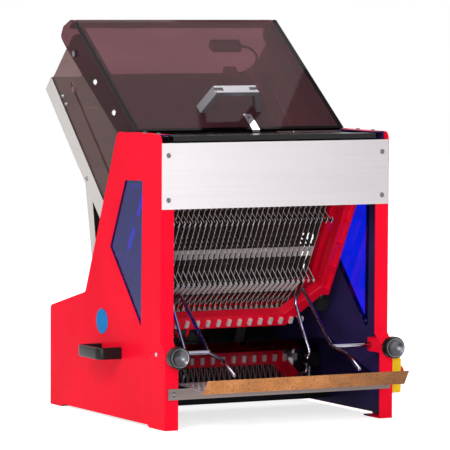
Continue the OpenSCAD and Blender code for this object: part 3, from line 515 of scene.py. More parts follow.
@dataclass(frozen=True)
class Polished(Finish):
    """Polished metal with faint smears."""

    smear: float = 0.5
    smear_scale: float = 38.0
    tone: Span = (0.9, 1.05)

    def dress(self, sheet: Sheet) -> None:
        """Lay a bright metal whose gloss is broken by smears.

        Args:
            sheet: The sheet of the material.
        """
        cloud = sheet.noise(self.smear_scale)
        sheet.color(sheet.tones(cloud, *self.tints(*self.tone)))
        sheet.gloss(cloud, *self.glosses(1 - self.smear, 1 + self.smear))
        sheet.set(Metallic=1.0)
        sheet.relief(sheet.noise(SCRATCH_SCALE), SCRATCH_DEPTH, self.edge)


@dataclass(frozen=True)
class PaintedLightSteel(Finish):
    """Flat comb fingers or blades: painted shade on the sides, painted highlights on the edges and one
    painted band of light.

    A face is a side where its normal lies along x. The painted band of light runs from a little above
    the height of the fingers' tips to its reach below them.
    """

    # Colour of the painted shade on the side faces, and its spread in the noise
    side_shade: Color = (0.05, 0.04, 0.04)
    tip: float = 0.263
    above: float = 0.004
    reach: float = 0.02
    metal: float = 0.2
    side_limit: float = 0.5
    side_shade_spread: float = 1.5
    cloud_scale: float = 90.0
    tone: Span = (0.92, 1.05)
    haze: Span = (0.7, 1.3)

    def dress(self, sheet: Sheet) -> None:
        """Lay the shaded sides, the highlighted edges and the band of painted light.

        Args:
            sheet: The sheet of the material.
        """
        height, across = sheet.axes()[2], sheet.axes("Normal")[0]
        # Painted light: side faces shaded dark, edge faces and the band below the tips painted bright
        edges = sheet.math("LESS_THAN", sheet.math("ABSOLUTE", across), self.side_limit)
        lit_band = sheet.all_of(sheet.math("LESS_THAN", height, self.tip + self.above),
                              sheet.math("GREATER_THAN", height, self.tip - self.reach))
        cloud = sheet.noise(self.cloud_scale)
        side_shade = sheet.tones(cloud, self.side_shade, tuple(self.side_shade_spread * c for c in self.side_shade))
        lit_steel = sheet.tones(cloud, *self.tints(*self.tone))
        sheet.color(sheet.blend(sheet.math("MAXIMUM", edges, lit_band), side_shade, lit_steel))
        sheet.gloss(cloud, *self.glosses(*self.haze))
        sheet.set(Metallic=self.metal)
        sheet.relief(sheet.noise(SCRATCH_SCALE), SCRATCH_DEPTH, self.edge)


@dataclass(frozen=True)
class Tinted(Finish):
    """Plastic sheet coloured through, which shows what is behind it in its colour."""

    clear: float = 1.0
    index: float = 1.25
    wipe_scale: Point = (7.0, 7.0, 30.0)
    tone: Span = (0.9, 1.1)
    haze: Span = (0.6, 1.5)

    def hue(self, sheet: Sheet, wipes: Socket) -> Socket:
        """Return the sheet's colour, which drifts a little with the wipe marks."""
        return sheet.tones(wipes, *self.tints(*self.tone))

    def dress(self, sheet: Sheet) -> None:
        """Lay a coloured clear plastic with faint wipe marks in its gloss.

        Args:
            sheet: The sheet of the material.
        """
        wipes = sheet.noise(self.wipe_scale)
        sheet.color(self.hue(sheet, wipes))
        sheet.gloss(wipes, *self.glosses(*self.haze))
        sheet.set(Transmission_Weight=self.clear, IOR=self.index)


@dataclass(frozen=True)
class BorderedSheet(Tinted):
    """A tinted sheet with a black border along its sides, its front edge and inside its flanges.

    The border is where |x| is past its inner edge, or where the way up the slope from the front
    edge is short, and only in the sheet itself: no further below it than its depth. On the
    flanges, only the faces that look to the middle are black: there x times the normal's x is
    well below zero.
    """

    frame: LidFrame = LidFrame()
    side: float = 0.2275
    flange: float = 0.2366
    front: float = 0.007
    depth: float = 0.0045
    inward_limit: float = -0.1
    blacks: tuple[Color, Color] = ((0.004, 0.003, 0.003), (0.007, 0.005, 0.005))

    def hue(self, sheet: Sheet, wipes: Socket) -> Socket:
        """Return the sheet's colour with its border.

        Args:
            sheet: The sheet of the material.
            wipes: Noise of the wipe marks.

        Returns:
            The colour.
        """
        _, y0, z0 = row(self.frame.at(0.0, 0.0, 0.0)).tolist()
        x, y, z = sheet.axes()
        y, z = sheet.math("SUBTRACT", y, y0), sheet.math("SUBTRACT", z, z0)
        run, rise = self.frame.run, self.frame.rise
        along = sheet.math("ADD", sheet.math("MULTIPLY", y, run), sheet.math("MULTIPLY", z, rise))
        up = sheet.math("SUBTRACT", sheet.math("MULTIPLY", z, run), sheet.math("MULTIPLY", y, rise))
        wide = sheet.math("ABSOLUTE", x)
        outer = sheet.math("GREATER_THAN", wide, self.side)
        rim = sheet.math("MAXIMUM", outer, sheet.math("LESS_THAN", along, self.front))
        border = sheet.all_of(rim, sheet.math("LESS_THAN", wide, self.flange),
                              sheet.math("GREATER_THAN", up, -self.depth))
        facing = sheet.math("MULTIPLY", x, sheet.axes("Normal")[0])
        inner = sheet.all_of(sheet.math("LESS_THAN", facing, self.inward_limit), outer)
        black = sheet.tones(wipes, *self.blacks)
        share = sheet.math("MAXIMUM", border, inner)
        return sheet.blend(share, super().hue(sheet, wipes), black)


@dataclass(frozen=True)
class Moulded(Finish):
    """Moulded plastic or cast iron with a fine grain."""

    grain_depth: float = 0.00002
    grain_scale: float = 900.0
    gloss: float = 0.2
    drift_scale: float = 16.0
    tone: Span = (0.88, 1.12)
    haze: Span = (0.85, 1.2)

    def dress(self, sheet: Sheet) -> None:
        """Lay the grain and a slight drift of tone and gloss.

        Args:
            sheet: The sheet of the material.
        """
        slow = sheet.noise(self.drift_scale)
        sheet.color(sheet.tones(slow, *self.tints(*self.tone)))
        sheet.gloss(slow, *self.glosses(*self.haze))
        sheet.set(Specular_IOR_Level=self.gloss)
        sheet.relief(sheet.noise(self.grain_scale), self.grain_depth, self.edge)


@dataclass(frozen=True)
class Mottled(Finish):
    """Copper-coloured metal, worn and stained in patches, with specks and a darker right end."""

    dark: Color = (0.36, 0.155, 0.055)
    pale: Color = (0.54, 0.23, 0.08)
    patch_scale: Point = (24.0, 34.0, 34.0)
    patch_octaves: float = 6.0
    patch_places: Point = (0.32, 0.5, 0.7)
    speck_scale: float = 210.0
    speck_octaves: float = 4.0
    speck_depth: float = 0.00005
    specks: Stops = ((0.34, (0.66, 0.6, 0.54)), (0.5, (0.95, 0.95, 0.95)), (0.66, WHITE))
    shade: Stops = ((0.0, WHITE), (0.5, WHITE), (1.0, (0.42, 0.38, 0.32)))
    metal: float = 0.6
    haze: Span = (1.25, 0.65)

    def dress(self, sheet: Sheet) -> None:
        """Lay patches and specks from dark stained metal to worn bright metal, darker to the right.

        Args:
            sheet: The sheet of the material.
        """
        patch = sheet.noise(self.patch_scale, self.patch_octaves)
        speck = sheet.noise(self.speck_scale, self.speck_octaves)
        patches = tuple(zip(self.patch_places, (self.dark, self.color, self.pale)))
        worn = sheet.blend(1.0, sheet.ramp(patch, patches), sheet.ramp(speck, self.specks), "MULTIPLY")
        sheet.color(sheet.fade(worn, self.shade))
        sheet.gloss(speck, *self.glosses(*self.haze))
        sheet.set(Metallic=self.metal)
        sheet.relief(speck, self.speck_depth, self.edge)


RED = Paint("red_cover_paint", linear("FC1230"), 0.34, 0.002, gloss=0.02)
# The side plates carry painted shade in a dark navy colour on their inner faces
PLATE_RED = InsideShadedPaint("red_side_paint", linear("FC1230"), 0.34, 0.002, gloss=0.02)
CAST_RED = Paint("red_casting_paint", linear("FF0C30"), 0.2, 0.0014, peel=0.00006, gloss=0.4)
BLACK_PAINT = Paint("black_top_paint", linear("141316"), 0.25, 0.001, gloss=0.3)
# The chute's inner faces carry painted shade in a near-black colour
CHUTE_PAINT = InsideShadedPaint("pale_chute_paint", linear("CFCBC8"), 0.42, 0.001, peel=0.00002, drift=0.03,
                         gloss=0.2, inner_shade=(0.03, 0.022, 0.022), wall=0.2352, front=-1.0)
DARK_PAINT = Paint("dark_inner_paint", linear("1C1A20"), 0.3, 0.001)
MOTOR_PAINT = Paint("grey_motor_paint", linear("16181A"), 0.45, 0.001)
# The front panel carries painted shade, darker towards the right
PANEL = Brushed("brushed_panel", linear("E2DCE0"), 0.42, 0.0006, contrast=0.03, metal=0.15, shade_fall=0.22)
CROSS_STEEL = Brushed("cross_bar_steel", linear("6C6260"), 0.12, 0.0006, contrast=0.2)
SHELF = Brushed("shelf_steel", linear("C8C6CA"), 0.25, 0.0003, contrast=0.06, metal=0.5)
CLIP = Brushed("clip_steel", linear("F4F2F2"), 0.2, 0.0006, Grain.ALONG_Z, 0.05, 0.35)
ALLOY = Brushed("grey_alloy", linear("8E8A90"), 0.34, contrast=0.08, metal=0.6)
MACHINED = Brushed("machined_steel", linear("9A9A9E"), 0.34, 0.0005, contrast=0.15)
BRONZE = Brushed("bronze_bush", linear("C79A55"), 0.3, 0.0004, Grain.ALONG_Z, 0.1)
SLIDE = Polished("polished_slide", linear("6E6A70"), 0.06, 0.0003, smear=0.3)
BRIGHT = Polished("bright_steel", linear("E8E8EC"), 0.14, 0.0003)
WIRE = Polished("guide_wire_steel", linear("A6A4B2"), 0.1, 0.0)
SCREW = Polished("dark_screw_steel", linear("77757A"), 0.25, 0.0003)
DISH = Polished("knob_dish", linear("5C5B60"), 0.3, 0.0, smear=0.2)
RING = Polished("knob_ring", linear("9A9AA0"), 0.2, 0.0)
COPPER = Mottled("copper_lip", linear("B4743C"), 0.4, 0.0004)
# Comb fingers and blades carry painted shade on their sides and painted light on their edges and in one
# band
FINGER = PaintedLightSteel("comb_finger_steel", linear("FBF8F6"), 0.22, 0.0004)
BLADE = PaintedLightSteel("blade_steel", linear("F4ECE8"), 0.24, 0.0002, side_shade=(0.06, 0.042, 0.038),
                    tip=0.333, above=0.002, reach=0.018)
BLUE_PANE = Tinted("blue_pane", linear("0A1ED8"), 0.05, clear=0.93, index=1.25)
LID_SMOKE = BorderedSheet("smoked_lid", linear("72464E"), 0.02, clear=0.8, index=1.1)
WALL_SMOKE = Tinted("smoked_wall", linear("8A6E6C"), 0.03, clear=0.65, index=1.15)
PUSHER_SMOKE = Tinted("smoked_pusher", linear("A07880"), 0.05, clear=0.6, index=1.2)
IRON = Moulded("dark_cast_iron", linear("2A2A2D"), 0.55, 0.001, grain_depth=0.0001, grain_scale=300.0)
RUBBER = Moulded("black_rubber", linear("100F10"), 0.6, 0.0004, grain_depth=0.00004, grain_scale=500.0)
BLACK_PLASTIC = Moulded("black_grip_plastic", linear("121214"), 0.28, 0.0006)
YELLOW = Moulded("yellow_box_plastic", linear("F5CC10"), 0.38, 0.001)
RED_PLASTIC = Moulded("red_button_plastic", linear("D01414"), 0.28)
BLUE_PLASTIC = Moulded("blue_disc_plastic", linear("057AC2"), 0.3, 0.0004, gloss=0.03)
SENSOR = Moulded("sensor_plastic", linear("E8D6D0"), 0.4, 0.0006)

NODE_FINISH: dict[Finish, tuple[str, ...]] = {
    RED: ("rear_cover", "housing_cover", "guide_clamp_blocks"),
    PLATE_RED: ("left_side_plate", "right_side_plate"),
    CAST_RED: ("blade_frame_a", "blade_frame_b"),
    BLACK_PAINT: ("top_front_bar", "top_cover"),
    CHUTE_PAINT: ("hopper_back_panel", "chute_floor"),
    DARK_PAINT: ("drive_bulkhead",),
    MOTOR_PAINT: ("motor",),
    PANEL: ("front_panel",),
    CROSS_STEEL: ("cross_bar",),
    SHELF: ("perforated_shelf",),
    CLIP: ("blade_clips_a", "blade_clips_b"),
    ALLOY: ("lid_handle",),
    MACHINED: ("base_plate", "crankshaft", "crank_pulley", "motor_pulley"),
    BRONZE: ("frame_bearings_a", "frame_bearings_b"),
    SLIDE: ("discharge_slide",),
    BRIGHT: ("frame_guide_rods", "chute_spacers", "lid_fittings", "pusher_bracket"),
    SCREW: ("casing_screws",),
    COPPER: ("shelf_lip",),
    FINGER: ("lower_comb", "upper_comb"),
    BLADE: ("blades_a", "blades_b"),
    BLUE_PANE: ("left_window_pane", "right_window_pane"),
    LID_SMOKE: ("lid",),
    WALL_SMOKE: ("left_chute_wall", "right_chute_wall"),
    PUSHER_SMOKE: ("pusher",),
    IRON: ("guide_rod_blocks", "bearing_blocks", "connecting_rod_a", "connecting_rod_b"),
    RUBBER: ("drive_belt", "lid_seal"),
    BLACK_PLASTIC: ("cable_gland",),
    YELLOW: ("stop_box",),
    RED_PLASTIC: ("stop_button",),
    BLUE_PLASTIC: ("blue_disc",),
    SENSOR: ("safety_sensor",),
}


# Surfaces


def fillet(corners: Array, radii: Array, steps: int = 8) -> Array:
    """Round the corners of a flat open path.

    Each corner becomes an arc tangent to both its sides: its centre lies on the bisector at
    radius / sin(half angle), and its points turn evenly from one side to the other.

    Args:
        corners: Path of n points with two coordinates.
        radii: Radius at each point; 0 keeps the point.
        steps: Spans of each arc.

    Returns:
        The rounded path.
    """
    parts = []
    for i, (b, r) in enumerate(zip(corners, radii)):
        if r <= 0:
            parts.append(b[None])
            continue
        u, w = corners[i - 1] - b, corners[i + 1] - b
        u, w = u / np.linalg.norm(u), w / np.linalg.norm(w)
        half = np.arccos(np.clip(u @ w, -1, 1)) / 2
        middle = b + (u + w) / np.linalg.norm(u + w) * r / np.sin(half)
        s = b + u * r / np.tan(half) - middle
        e = b + w * r / np.tan(half) - middle
        turn = np.arctan2(s[0] * e[1] - s[1] * e[0], s @ e) * np.linspace(0, 1, steps + 1)[:, None]
        across = np.array([-s[1], s[0]])
        parts.append(middle + np.cos(turn) * s + np.sin(turn) * across)
    return np.concatenate(parts)


def ring(count: int, radius: float) -> Array:
    """Points of a circle: radius times cosine and sine of even angles."""
    angle = np.linspace(0, 2 * np.pi, count, endpoint=False)
    return radius * np.stack([np.cos(angle), np.sin(angle)], 1)


def rounded_bar(width: float, height: float, radius: float, steps: int = 4) -> Array:
    """Outline of a bar: four quarter circles set at the corners of a smaller box.

    Args:
        width: Full width.
        height: Full height.
        radius: Corner radius.
        steps: Spans of each quarter.

    Returns:
        Closed outline, anticlockwise.
    """
    angle = np.linspace(0, np.pi / 2, steps + 1)
    quarter = radius * np.stack([np.cos(angle), np.sin(angle)], 1)
    box = np.array([width / 2 - radius, height / 2 - radius])
    turns = [quarter, quarter[:, ::-1] * [-1, 1], quarter * [-1, -1], quarter[:, ::-1] * [1, -1]]
    signs = np.array([[1, 1], [-1, 1], [-1, -1], [1, -1]])
    return np.concatenate([t + box * s for t, s in zip(turns, signs)])


def carry(profile: Array, path: Array, up: Array) -> Array:
    """Carry a profile along a flat path.

    At each point of the path the profile's first axis lies square to the path in its plane
    (up x tangent), and its second axis is up, the normal of that plane.

    Args:
        profile: Outline of k points.
        path: Path of n points in space.
        up: Unit normal of the path's plane.

    Returns:
        Grid of n by k points.
    """
    along = np.gradient(path, axis=0)
    along /= np.linalg.norm(along, axis=1, keepdims=True)
    side = np.cross(up, along)
    return path[:, None] + profile[None, :, :1] * side[:, None] + profile[None, :, 1:] * up


def turned(profile: Array, count: int) -> Array:
    """Turn a profile [radius, height] about its height axis into a grid of x, y, height.

    Args:
        profile: Rows of radius and height.
        count: Points round the axis.

    Returns:
        Grid of n by count points: radius times cosine, radius times sine, height.
    """
    circle = ring(count, 1.0)
    flat = profile[:, None, :1] * circle[None]
    height = np.broadcast_to(profile[:, None, 1:], (*flat.shape[:2], 1))
    return np.concatenate([flat, height], 2)


def tapered(grid: Array, share: float, rows: int = 4) -> Array:
    """Close both ends of a tube with shrinking rings, as quarter circles do.

    Args:
        grid: Tube of n rings.
        share: Length of each end as a share of the tube's radius.
        rows: Rings added at each end.

    Returns:
        The tube with rounded ends; its last rings shrink to points.
    """
    angle = np.linspace(0, np.pi / 2, rows + 1)[1:, None, None]

    def cap(edge: Array, inner: Array) -> Array:
        """Rings past an edge: its radius times cosine, its reach times sine.

        Args:
            edge: Last ring of the tube.
            inner: The ring before it.

        Returns:
            The shrinking rings.
        """
        middle = edge.mean(0)
        out = middle - inner.mean(0)
        out /= np.linalg.norm(out)
        radius = np.linalg.norm(edge - middle, axis=1).mean()
        return middle + (edge - middle) * np.cos(angle) + out * radius * share * np.sin(angle)

    return np.concatenate([cap(grid[0], grid[1])[::-1], grid, cap(grid[-1], grid[-2])])


def place_mesh(name: str, points: Array, faces: list[list[int]]) -> bpy.types.Object:
    """Put points and faces into a new object at the origin of the scene.

    Args:
        name: Name of the object.
        points: Its points in metres.
        faces: Its faces, as lists of points.

    Returns:
        The new object.
    """
    mesh = bpy.data.meshes.new(name)
    mesh.from_pydata(points, [], faces)
    piece = bpy.data.objects.new(name, mesh)
    bpy.context.scene.collection.objects.link(piece)
    return piece


def skin(name: str, grids: list[Array], hoop: bool = False, smooth: float = 35.0) -> bpy.types.Object:
    """Make one mesh of grids that are closed round and capped at both ends.

    A grid is turned outwards where its signed volume, the sum of p . (q x r + r x s) over its
    quads, is below zero.

    Args:
        name: Name of the piece.
        grids: Grids of n by k points in profile millimetres.
        hoop: True joins the last ring to the first, in place of the caps.
        smooth: Edges bent by more than this many degrees stay sharp.

    Returns:
        The piece, at the origin, its faces turned outwards.
    """
    points, faces, base = [], [], 0
    for grid in grids:
        n, k = grid.shape[:2]
        i, j = np.meshgrid(np.arange(n if hoop else n - 1), np.arange(k), indexing="ij")
        ahead, turn = (i + 1) % n * k, (j + 1) % k
        quads = np.stack([i * k + j, i * k + turn, ahead + turn, ahead + j], -1).reshape(-1, 4)
        flat = row(grid).reshape(-1, 3)
        p, q, r, s = (flat[quads[:, m]] - flat.mean(0) for m in range(4))
        ends = [] if hoop else [np.arange(k)[::-1], np.arange(k) + (n - 1) * k]
        if np.sum(p * (np.cross(q, r) + np.cross(r, s))) < 0:
            quads, ends = quads[:, ::-1], [e[::-1] for e in ends]
        faces += (quads + base).tolist() + [(e + base).tolist() for e in ends]
        points.append(flat)
        base += n * k
    piece = place_mesh(name, np.concatenate(points), faces)
    mesh = piece.data
    mesh.validate()
    mesh.polygons.foreach_set("use_smooth", np.ones(len(mesh.polygons), bool))
    mesh.set_sharp_from_angle(angle=np.radians(smooth))
    return piece


def dress(piece: bpy.types.Object, finish: Finish, body: str, slot: str, *nodes: str) -> None:
    """Finish a piece, set it on its body and hide the solids that it replaces.

    Args:
        piece: The new piece.
        finish: Its finish.
        body: The body that it moves with.
        slot: Name of a material slot; not used.
        *nodes: Solids that it replaces.
    """
    piece.data.materials.append(finish.material())
    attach(piece, body)
    if nodes:
        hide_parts(*nodes)
    LOG.info("piece %s on %s", piece.name, body)


# Sub-assemblies


class Side(Enum):
    """The two sides of the machine, as the sign of x."""

    LEFT = -1
    RIGHT = 1

    @property
    def label(self) -> str:
        """Name of the side in node names."""
        return self.name.lower()


@dataclass
class ClampKnob:
    """A turned black knob with a bright ring and a dished face, on its stud.

    Its profiles hold a radius and a distance in front of the column. The neck and the shoulder hold
    a radius and a distance from the knob's back. Depths are from its front.
    """

    side: Side
    x: float = 241.5
    z: float = 145.0
    gap: float = 6.0
    length: float = 31.0
    radius: float = 22.0
    neck: Span = (11.44, 6.0)
    shoulder: Span = (18.48, 10.0)
    grip_start: float = 14.0
    rim_radii: Span = (18.92, 18.04)
    rim_depth: float = 1.0
    floor_radius: float = 8.8
    floor_depths: Span = (9.4, 10.0)
    rounds: tuple[float, ...] = (0, 1, 2.5, 4, 3, 3, 0, 0, 0, 0)
    round_steps: int = 5
    core: float = 0.3
    stud: float = 8.0
    stud_end: float = -34.6
    stud_bevel: float = 0.6
    ring_radius: float = 18.48
    ring_depth: float = 0.9
    ring_section: Span = (0.9, 0.8)
    ring_sides: int = 12
    dish_radii: Span = (0.264, 17.6)
    dish_depths: Span = (9.0, 1.0)
    dish_sheet: float = 0.7
    dish_rings: int = 14
    sides: int = 48

    @property
    def front(self) -> float:
        """Distance of the knob's front in front of the column."""
        return self.gap + self.length

    def place(self, profile: Array) -> Array:
        """Turn a profile about the knob's axis.

        Args:
            profile: Rows of radius and distance in front of the column.

        Returns:
            Grid of points in the profile frame.
        """
        grid = turned(profile, self.sides)
        x = self.side.value * self.x + grid[..., 0]
        return np.stack([x, -grid[..., 2], self.z + grid[..., 1]], -1)

    def body(self) -> Array:
        """Profile of the stud, the neck, the grip and the hollow front, with rounded corners.

        Returns:
            Rows of radius and distance.
        """
        stud, back, front = self.stud / 2, self.gap, self.front
        tail = np.array([[self.core, self.stud_end], [stud - self.stud_bevel, self.stud_end],
                         [stud, self.stud_end + self.stud_bevel]])
        corners = np.array([[stud, back], [self.neck[0], back], [self.neck[0], back + self.neck[1]],
                            [self.shoulder[0], back + self.shoulder[1]],
                            [self.radius, back + self.grip_start], [self.radius, front],
                            [self.rim_radii[0], front], [self.rim_radii[1], front - self.rim_depth],
                            [self.floor_radius, front - self.floor_depths[0]],
                            [self.core, front - self.floor_depths[1]]])
        return np.concatenate([tail, fillet(corners, np.array(self.rounds), self.round_steps)])

    def band(self) -> Array:
        """Section of the ring: an ellipse round a point near the front."""
        middle = np.array([self.ring_radius, self.front - self.ring_depth])
        return middle + ring(self.ring_sides, 1.0) * self.ring_section

    def dish(self) -> Array:
        """Section of the dish: a thin sheet whose depth falls with the square of its radius.

        Returns:
            Rows of radius and distance.
        """
        radius = np.linspace(*self.dish_radii, self.dish_rings)
        deep, shallow = self.dish_depths
        height = self.front - deep + (deep - shallow) * (radius / self.dish_radii[1]) ** 2
        bowl = np.stack([radius, height], 1)
        return np.concatenate([bowl - [0, self.dish_sheet], bowl[::-1]])

    def build(self) -> None:
        """Make the body with its stud, the ring and the dish."""
        name = f"{self.side.label}_knob"
        body = skin(f"{name}_body", [self.place(self.body())])
        dress(body, BLACK_PLASTIC, name, "black_plastic", name)
        hoop = skin(f"{name}_ring", [self.place(self.band())], hoop=True)
        dress(hoop, RING, name, "bright_steel")
        cone = skin(f"{name}_dish", [self.place(self.dish())])
        dress(cone, DISH, name, "black_plastic")


@dataclass
class LoafGuide:
    """A bent wire welded to the end of a round sliding rod.

    A bend holds its depth, its height and its radius. The rod starts a weld past the middle of the
    wire, and its bevel narrows it to a share of its radius.
    """

    side: Side
    x: float = 140.0
    wire: float = 7.0
    wire_sides: int = 16
    wire_end: float = 0.6
    bends: tuple[Point, ...] = (
        (-68, 110, 0), (-20, 136, 24), (39, 145, 30), (166, 255, 14), (196, 226, 14),
        (161, 168, 30), (118, 104, 10), (140, 113, 0))
    bend_steps: int = 10
    rod: float = 10.0
    rod_sides: int = 24
    rod_at: Span = (40.0, 146.0)
    rod_end: float = 256.0
    weld: float = 1.0
    weld_zone: float = 20.0
    bevel: float = 1.2
    bevel_share: float = 0.8

    def bent_wire(self) -> Array:
        """Carry a circle along the rounded bends, and close its ends.

        Returns:
            Grid of points in the profile frame.
        """
        bends = np.array(self.bends, float)
        flat = fillet(bends[:, :2], bends[:, 2], self.bend_steps)
        path = np.insert(flat, 0, self.side.value * self.x, axis=1)
        tube = carry(ring(self.wire_sides, self.wire / 2), path, np.array([1.0, 0, 0]))
        return tapered(tube, self.wire_end)

    def sliding_rod(self) -> Array:
        """Carry a circle straight out to the side, with a bevel at its end.

        Returns:
            Grid of points in the profile frame.
        """
        stations = [self.x - self.weld, self.x + self.weld_zone, self.rod_end - self.bevel, self.rod_end]
        y, z = (np.full(len(stations), place) for place in self.rod_at)
        line = np.stack([np.array(stations) * self.side.value, y, z], 1)
        rod = carry(ring(self.rod_sides, self.rod / 2), line, np.array([0, 0, 1.0]))
        rod[-1] = line[-1] + (rod[-1] - line[-1]) * self.bevel_share
        return rod

    def build(self) -> None:
        """Make the wire and the rod as one piece."""
        name = f"{self.side.label}_guide"
        piece = skin(f"{name}_wire", [self.bent_wire(), self.sliding_rod()])
        dress(piece, WIRE, name, "bright_steel", name)


@dataclass
class CarryHandle:
    """A black bow grip with rounded bends and edges."""

    side: Side
    plate: float = 256.0
    out: float = 52.0
    start: float = 190.0
    length: float = 100.0
    z: float = 135.0
    bar: float = 24.0
    thick: float = 11.0
    bend: float = 9.0
    corner: float = 4.2

    def build(self) -> None:
        """Carry a rounded bar along the bow, from the plate out, back and in again."""
        reach = self.plate + self.out - self.thick / 2
        a, b = self.start + self.thick / 2, self.start + self.length - self.thick / 2
        corners = np.array([[self.plate, a], [reach, a], [reach, b], [self.plate, b]])
        bow = fillet(corners, np.array([0, self.bend, self.bend, 0]))
        path = np.column_stack([self.side.value * bow[:, 0], bow[:, 1], np.full(len(bow), self.z)])
        grip = carry(rounded_bar(self.thick, self.bar, self.corner), path, np.array([0, 0, 1.0]))
        piece = skin(f"{self.side.label}_grip", [grip])
        dress(piece, BLACK_PLASTIC, "casing", "black_plastic", f"{self.side.label}_handle")


@dataclass
class SensorCable:
    """The cable under the lid, from the sensor to the plug beside the handle.

    A point of the route holds x and the way up along the lid.
    """

    frame: LidFrame = LidFrame()
    thick: float = 5.0
    depth: float = 13.0
    sides: int = 12
    count: int = 40
    passes: int = 6
    route: tuple[Span, ...] = (
        (122, 287), (130, 287), (141, 284), (148, 275), (150, 263), (148, 250), (141, 236),
        (130, 222), (117, 211), (104, 204), (90, 198), (76, 196))

    def path(self) -> Array:
        """Work out the cable's middle line.

        Even steps along the route are averaged with their neighbours, a quarter of each and a
        half of the point itself, in several passes. Both ends stay.

        Returns:
            Points in the profile frame.
        """
        knots = np.array(self.route, float)
        steps = np.concatenate([[0], np.cumsum(np.linalg.norm(np.diff(knots, axis=0), axis=1))])
        even = np.linspace(0, steps[-1], self.count)
        flat = np.stack([np.interp(even, steps, knots[:, m]) for m in range(2)], 1)
        for _ in range(self.passes):
            flat[1:-1] = flat[:-2] / 4 + flat[1:-1] / 2 + flat[2:] / 4
        return self.frame.at(flat[:, 0], flat[:, 1], np.full(len(flat), -self.depth))

    def build(self) -> None:
        path = self.path()
        up = np.array([0, -self.frame.rise, self.frame.run])
        piece = skin("sensor_cable_run", [carry(ring(self.sides, self.thick / 2), path, up)])
        dress(piece, RUBBER, "lid", "belt_rubber", "sensor_cable")


# Studio


def unit(vector: Array) -> Array:
    """Return a vector of length 1 in the same direction."""
    return vector / np.linalg.norm(vector)


def stand(name: str, data: bpy.types.ID, place: Point, axes: list[Array]) -> bpy.types.Object:
    """Put a lamp or a camera in the scene.

    Args:
        name: Name of the object.
        data: Its lamp or camera.
        place: Where it stands, in metres.
        axes: Its right, up and backward directions.

    Returns:
        The new object.
    """
    thing = bpy.data.objects.new(name, data)
    turn = Matrix(np.column_stack(axes).tolist()).to_4x4()
    thing.matrix_world = Matrix.Translation(place) @ turn
    bpy.context.scene.collection.objects.link(thing)
    return thing


@dataclass(frozen=True)
class Lamp:
    """A soft square lamp: its name, its place and side in metres, and its power in watts."""

    name: str
    place: Point
    size: float
    power: float

    def hang(self, aim: Point) -> None:
        """Hang the lamp so that it faces a point.

        Args:
            aim: The point, in metres.
        """
        light = bpy.data.lights.new(self.name, "AREA")
        light.energy, light.size = self.power, self.size
        back = unit(np.array(self.place) - np.array(aim))
        side = unit(np.cross([0, 0, 1.0], back))
        stand(self.name, light, self.place, [side, np.cross(back, side), back])


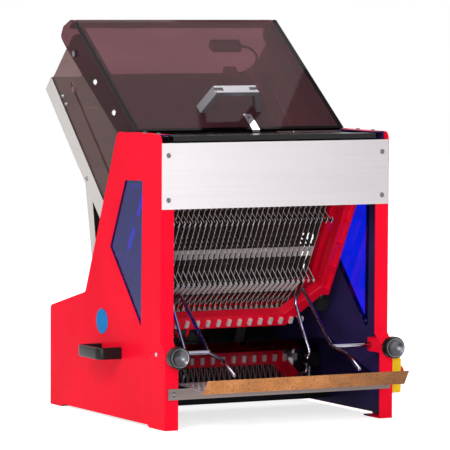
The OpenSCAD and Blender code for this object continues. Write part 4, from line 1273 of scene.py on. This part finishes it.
@dataclass
class Studio:
    """Pale floor, soft lamps and the camera at the photograph's place.

    The camera's place is in profile millimetres, and its angles are in degrees.
    """

    eye: Point = (-3428.8, -6220.8, 862.6)
    yaw: float = 27.966
    pitch: float = 3.771
    roll: float = 0.2655
    focal_px: float = 3615.9
    frame_px: float = 450.0
    sensor: float = 36.0
    far: float = 60.0
    floor_half: float = 9.0
    floor_cells: int = 8
    floor_tone: float = 0.93
    floor_rough: float = 0.9
    floor_gloss: float = 0.1
    floor_glow: float = 0.7
    world_light: float = 0.42
    aim: Point = (0.0, 0.0, 0.4)
    lamps: tuple[Lamp, ...] = (
        Lamp("key_lamp", (-3.0, -2.4, 2.6), 1.6, 78.0),
        Lamp("fill_lamp", (-1.5, -3.3, 0.6), 1.2, 40.0),
        Lamp("top_lamp", (0.3, 0.6, 3.2), 2.2, 45.0))

    def camera(self) -> None:
        """Set the camera by its turn about the upright, its dip and its tilt."""
        yaw, pitch, roll = np.radians([self.yaw, self.pitch, self.roll])
        level = np.array([np.sin(yaw), np.cos(yaw), 0]) * np.cos(pitch)
        ahead = level - [0, 0, np.sin(pitch)]
        flat = np.array([np.cos(yaw), -np.sin(yaw), 0])
        upright = np.cross(flat, ahead)
        right = np.cos(roll) * flat + np.sin(roll) * upright
        up = np.cos(roll) * upright - np.sin(roll) * flat
        lens = bpy.data.cameras.new("photo_camera")
        lens.sensor_width = self.sensor
        lens.lens = self.sensor * self.focal_px / self.frame_px
        lens.clip_end = self.far
        place = row(np.array(self.eye)).tolist()
        bpy.context.scene.camera = stand("photo_camera", lens, place, [right, up, -ahead])

    def backdrop(self) -> None:
        """Make the world: a plain light, and white to the camera, in a gloss or through a sheet."""
        world = bpy.data.worlds.new("studio")
        bpy.context.scene.world = world
        world.use_nodes = True
        nodes = Nodes(world.node_tree)
        sky = nodes.tree.nodes["Background"]
        sky.inputs["Color"].default_value = (*WHITE, 1)
        level = nodes.add("MapRange", {"To Min": self.world_light, "To Max": 1.0})
        nodes.join(nodes.seen(), level.inputs["Value"])
        nodes.join(level.outputs["Result"], sky.inputs["Strength"])

    def floor(self) -> None:
        """Lay a pale floor that keeps the shadow and shows nearly white."""
        cells = self.floor_cells
        side = np.linspace(-self.floor_half, self.floor_half, cells + 1)
        x, y = np.meshgrid(side, side, indexing="ij")
        points = np.stack([x, y, np.zeros_like(x)], -1).reshape(-1, 3)
        i, j = np.meshgrid(np.arange(cells), np.arange(cells), indexing="ij")
        a = (i * (cells + 1) + j).ravel()
        b = a + cells + 1
        ground = place_mesh("studio_floor", points, np.stack([a, b, b + 1, a + 1], 1).tolist())
        sheet = Sheet("studio_floor")
        sheet.set(Base_Color=(self.floor_tone,) * 3 + (1,), Roughness=self.floor_rough,
                  Specular_IOR_Level=self.floor_gloss, Emission_Color=(*WHITE, 1))
        glow = sheet.math("MULTIPLY", sheet.seen(), self.floor_glow)
        sheet.join(glow, sheet.shader.inputs["Emission Strength"])
        ground.data.materials.append(sheet.material)

    def build(self) -> None:
        """Set up the camera, the world, the floor and the lamps."""
        bpy.context.scene.view_settings.view_transform = "Standard"
        self.camera()
        self.backdrop()
        self.floor()
        for lamp in self.lamps:
            lamp.hang(self.aim)


def finish_solids(nodes: dict[str, bpy.types.Object]) -> None:
    """Give every carried-over solid its finish.

    Args:
        nodes: The frame's solids by name.
    """
    for finish, names in NODE_FINISH.items():
        for name in names:
            solid = nodes[name]
            if solid.material_slots:
                solid.material_slots[0].material = finish.material()
            else:
                solid.data.materials.append(finish.material())
            LOG.info("finish %s on %s", finish.name, name)


def main() -> None:
    """Load the frame, dress it, and build the new pieces and the studio."""
    logging.basicConfig(level=logging.INFO, format="%(message)s")
    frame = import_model()
    Studio().build()
    finish_solids(frame["nodes"])
    SensorCable().build()
    for side in Side:
        ClampKnob(side).build()
        LoafGuide(side).build()
        CarryHandle(side).build()


if __name__ == "__main__":
    main()
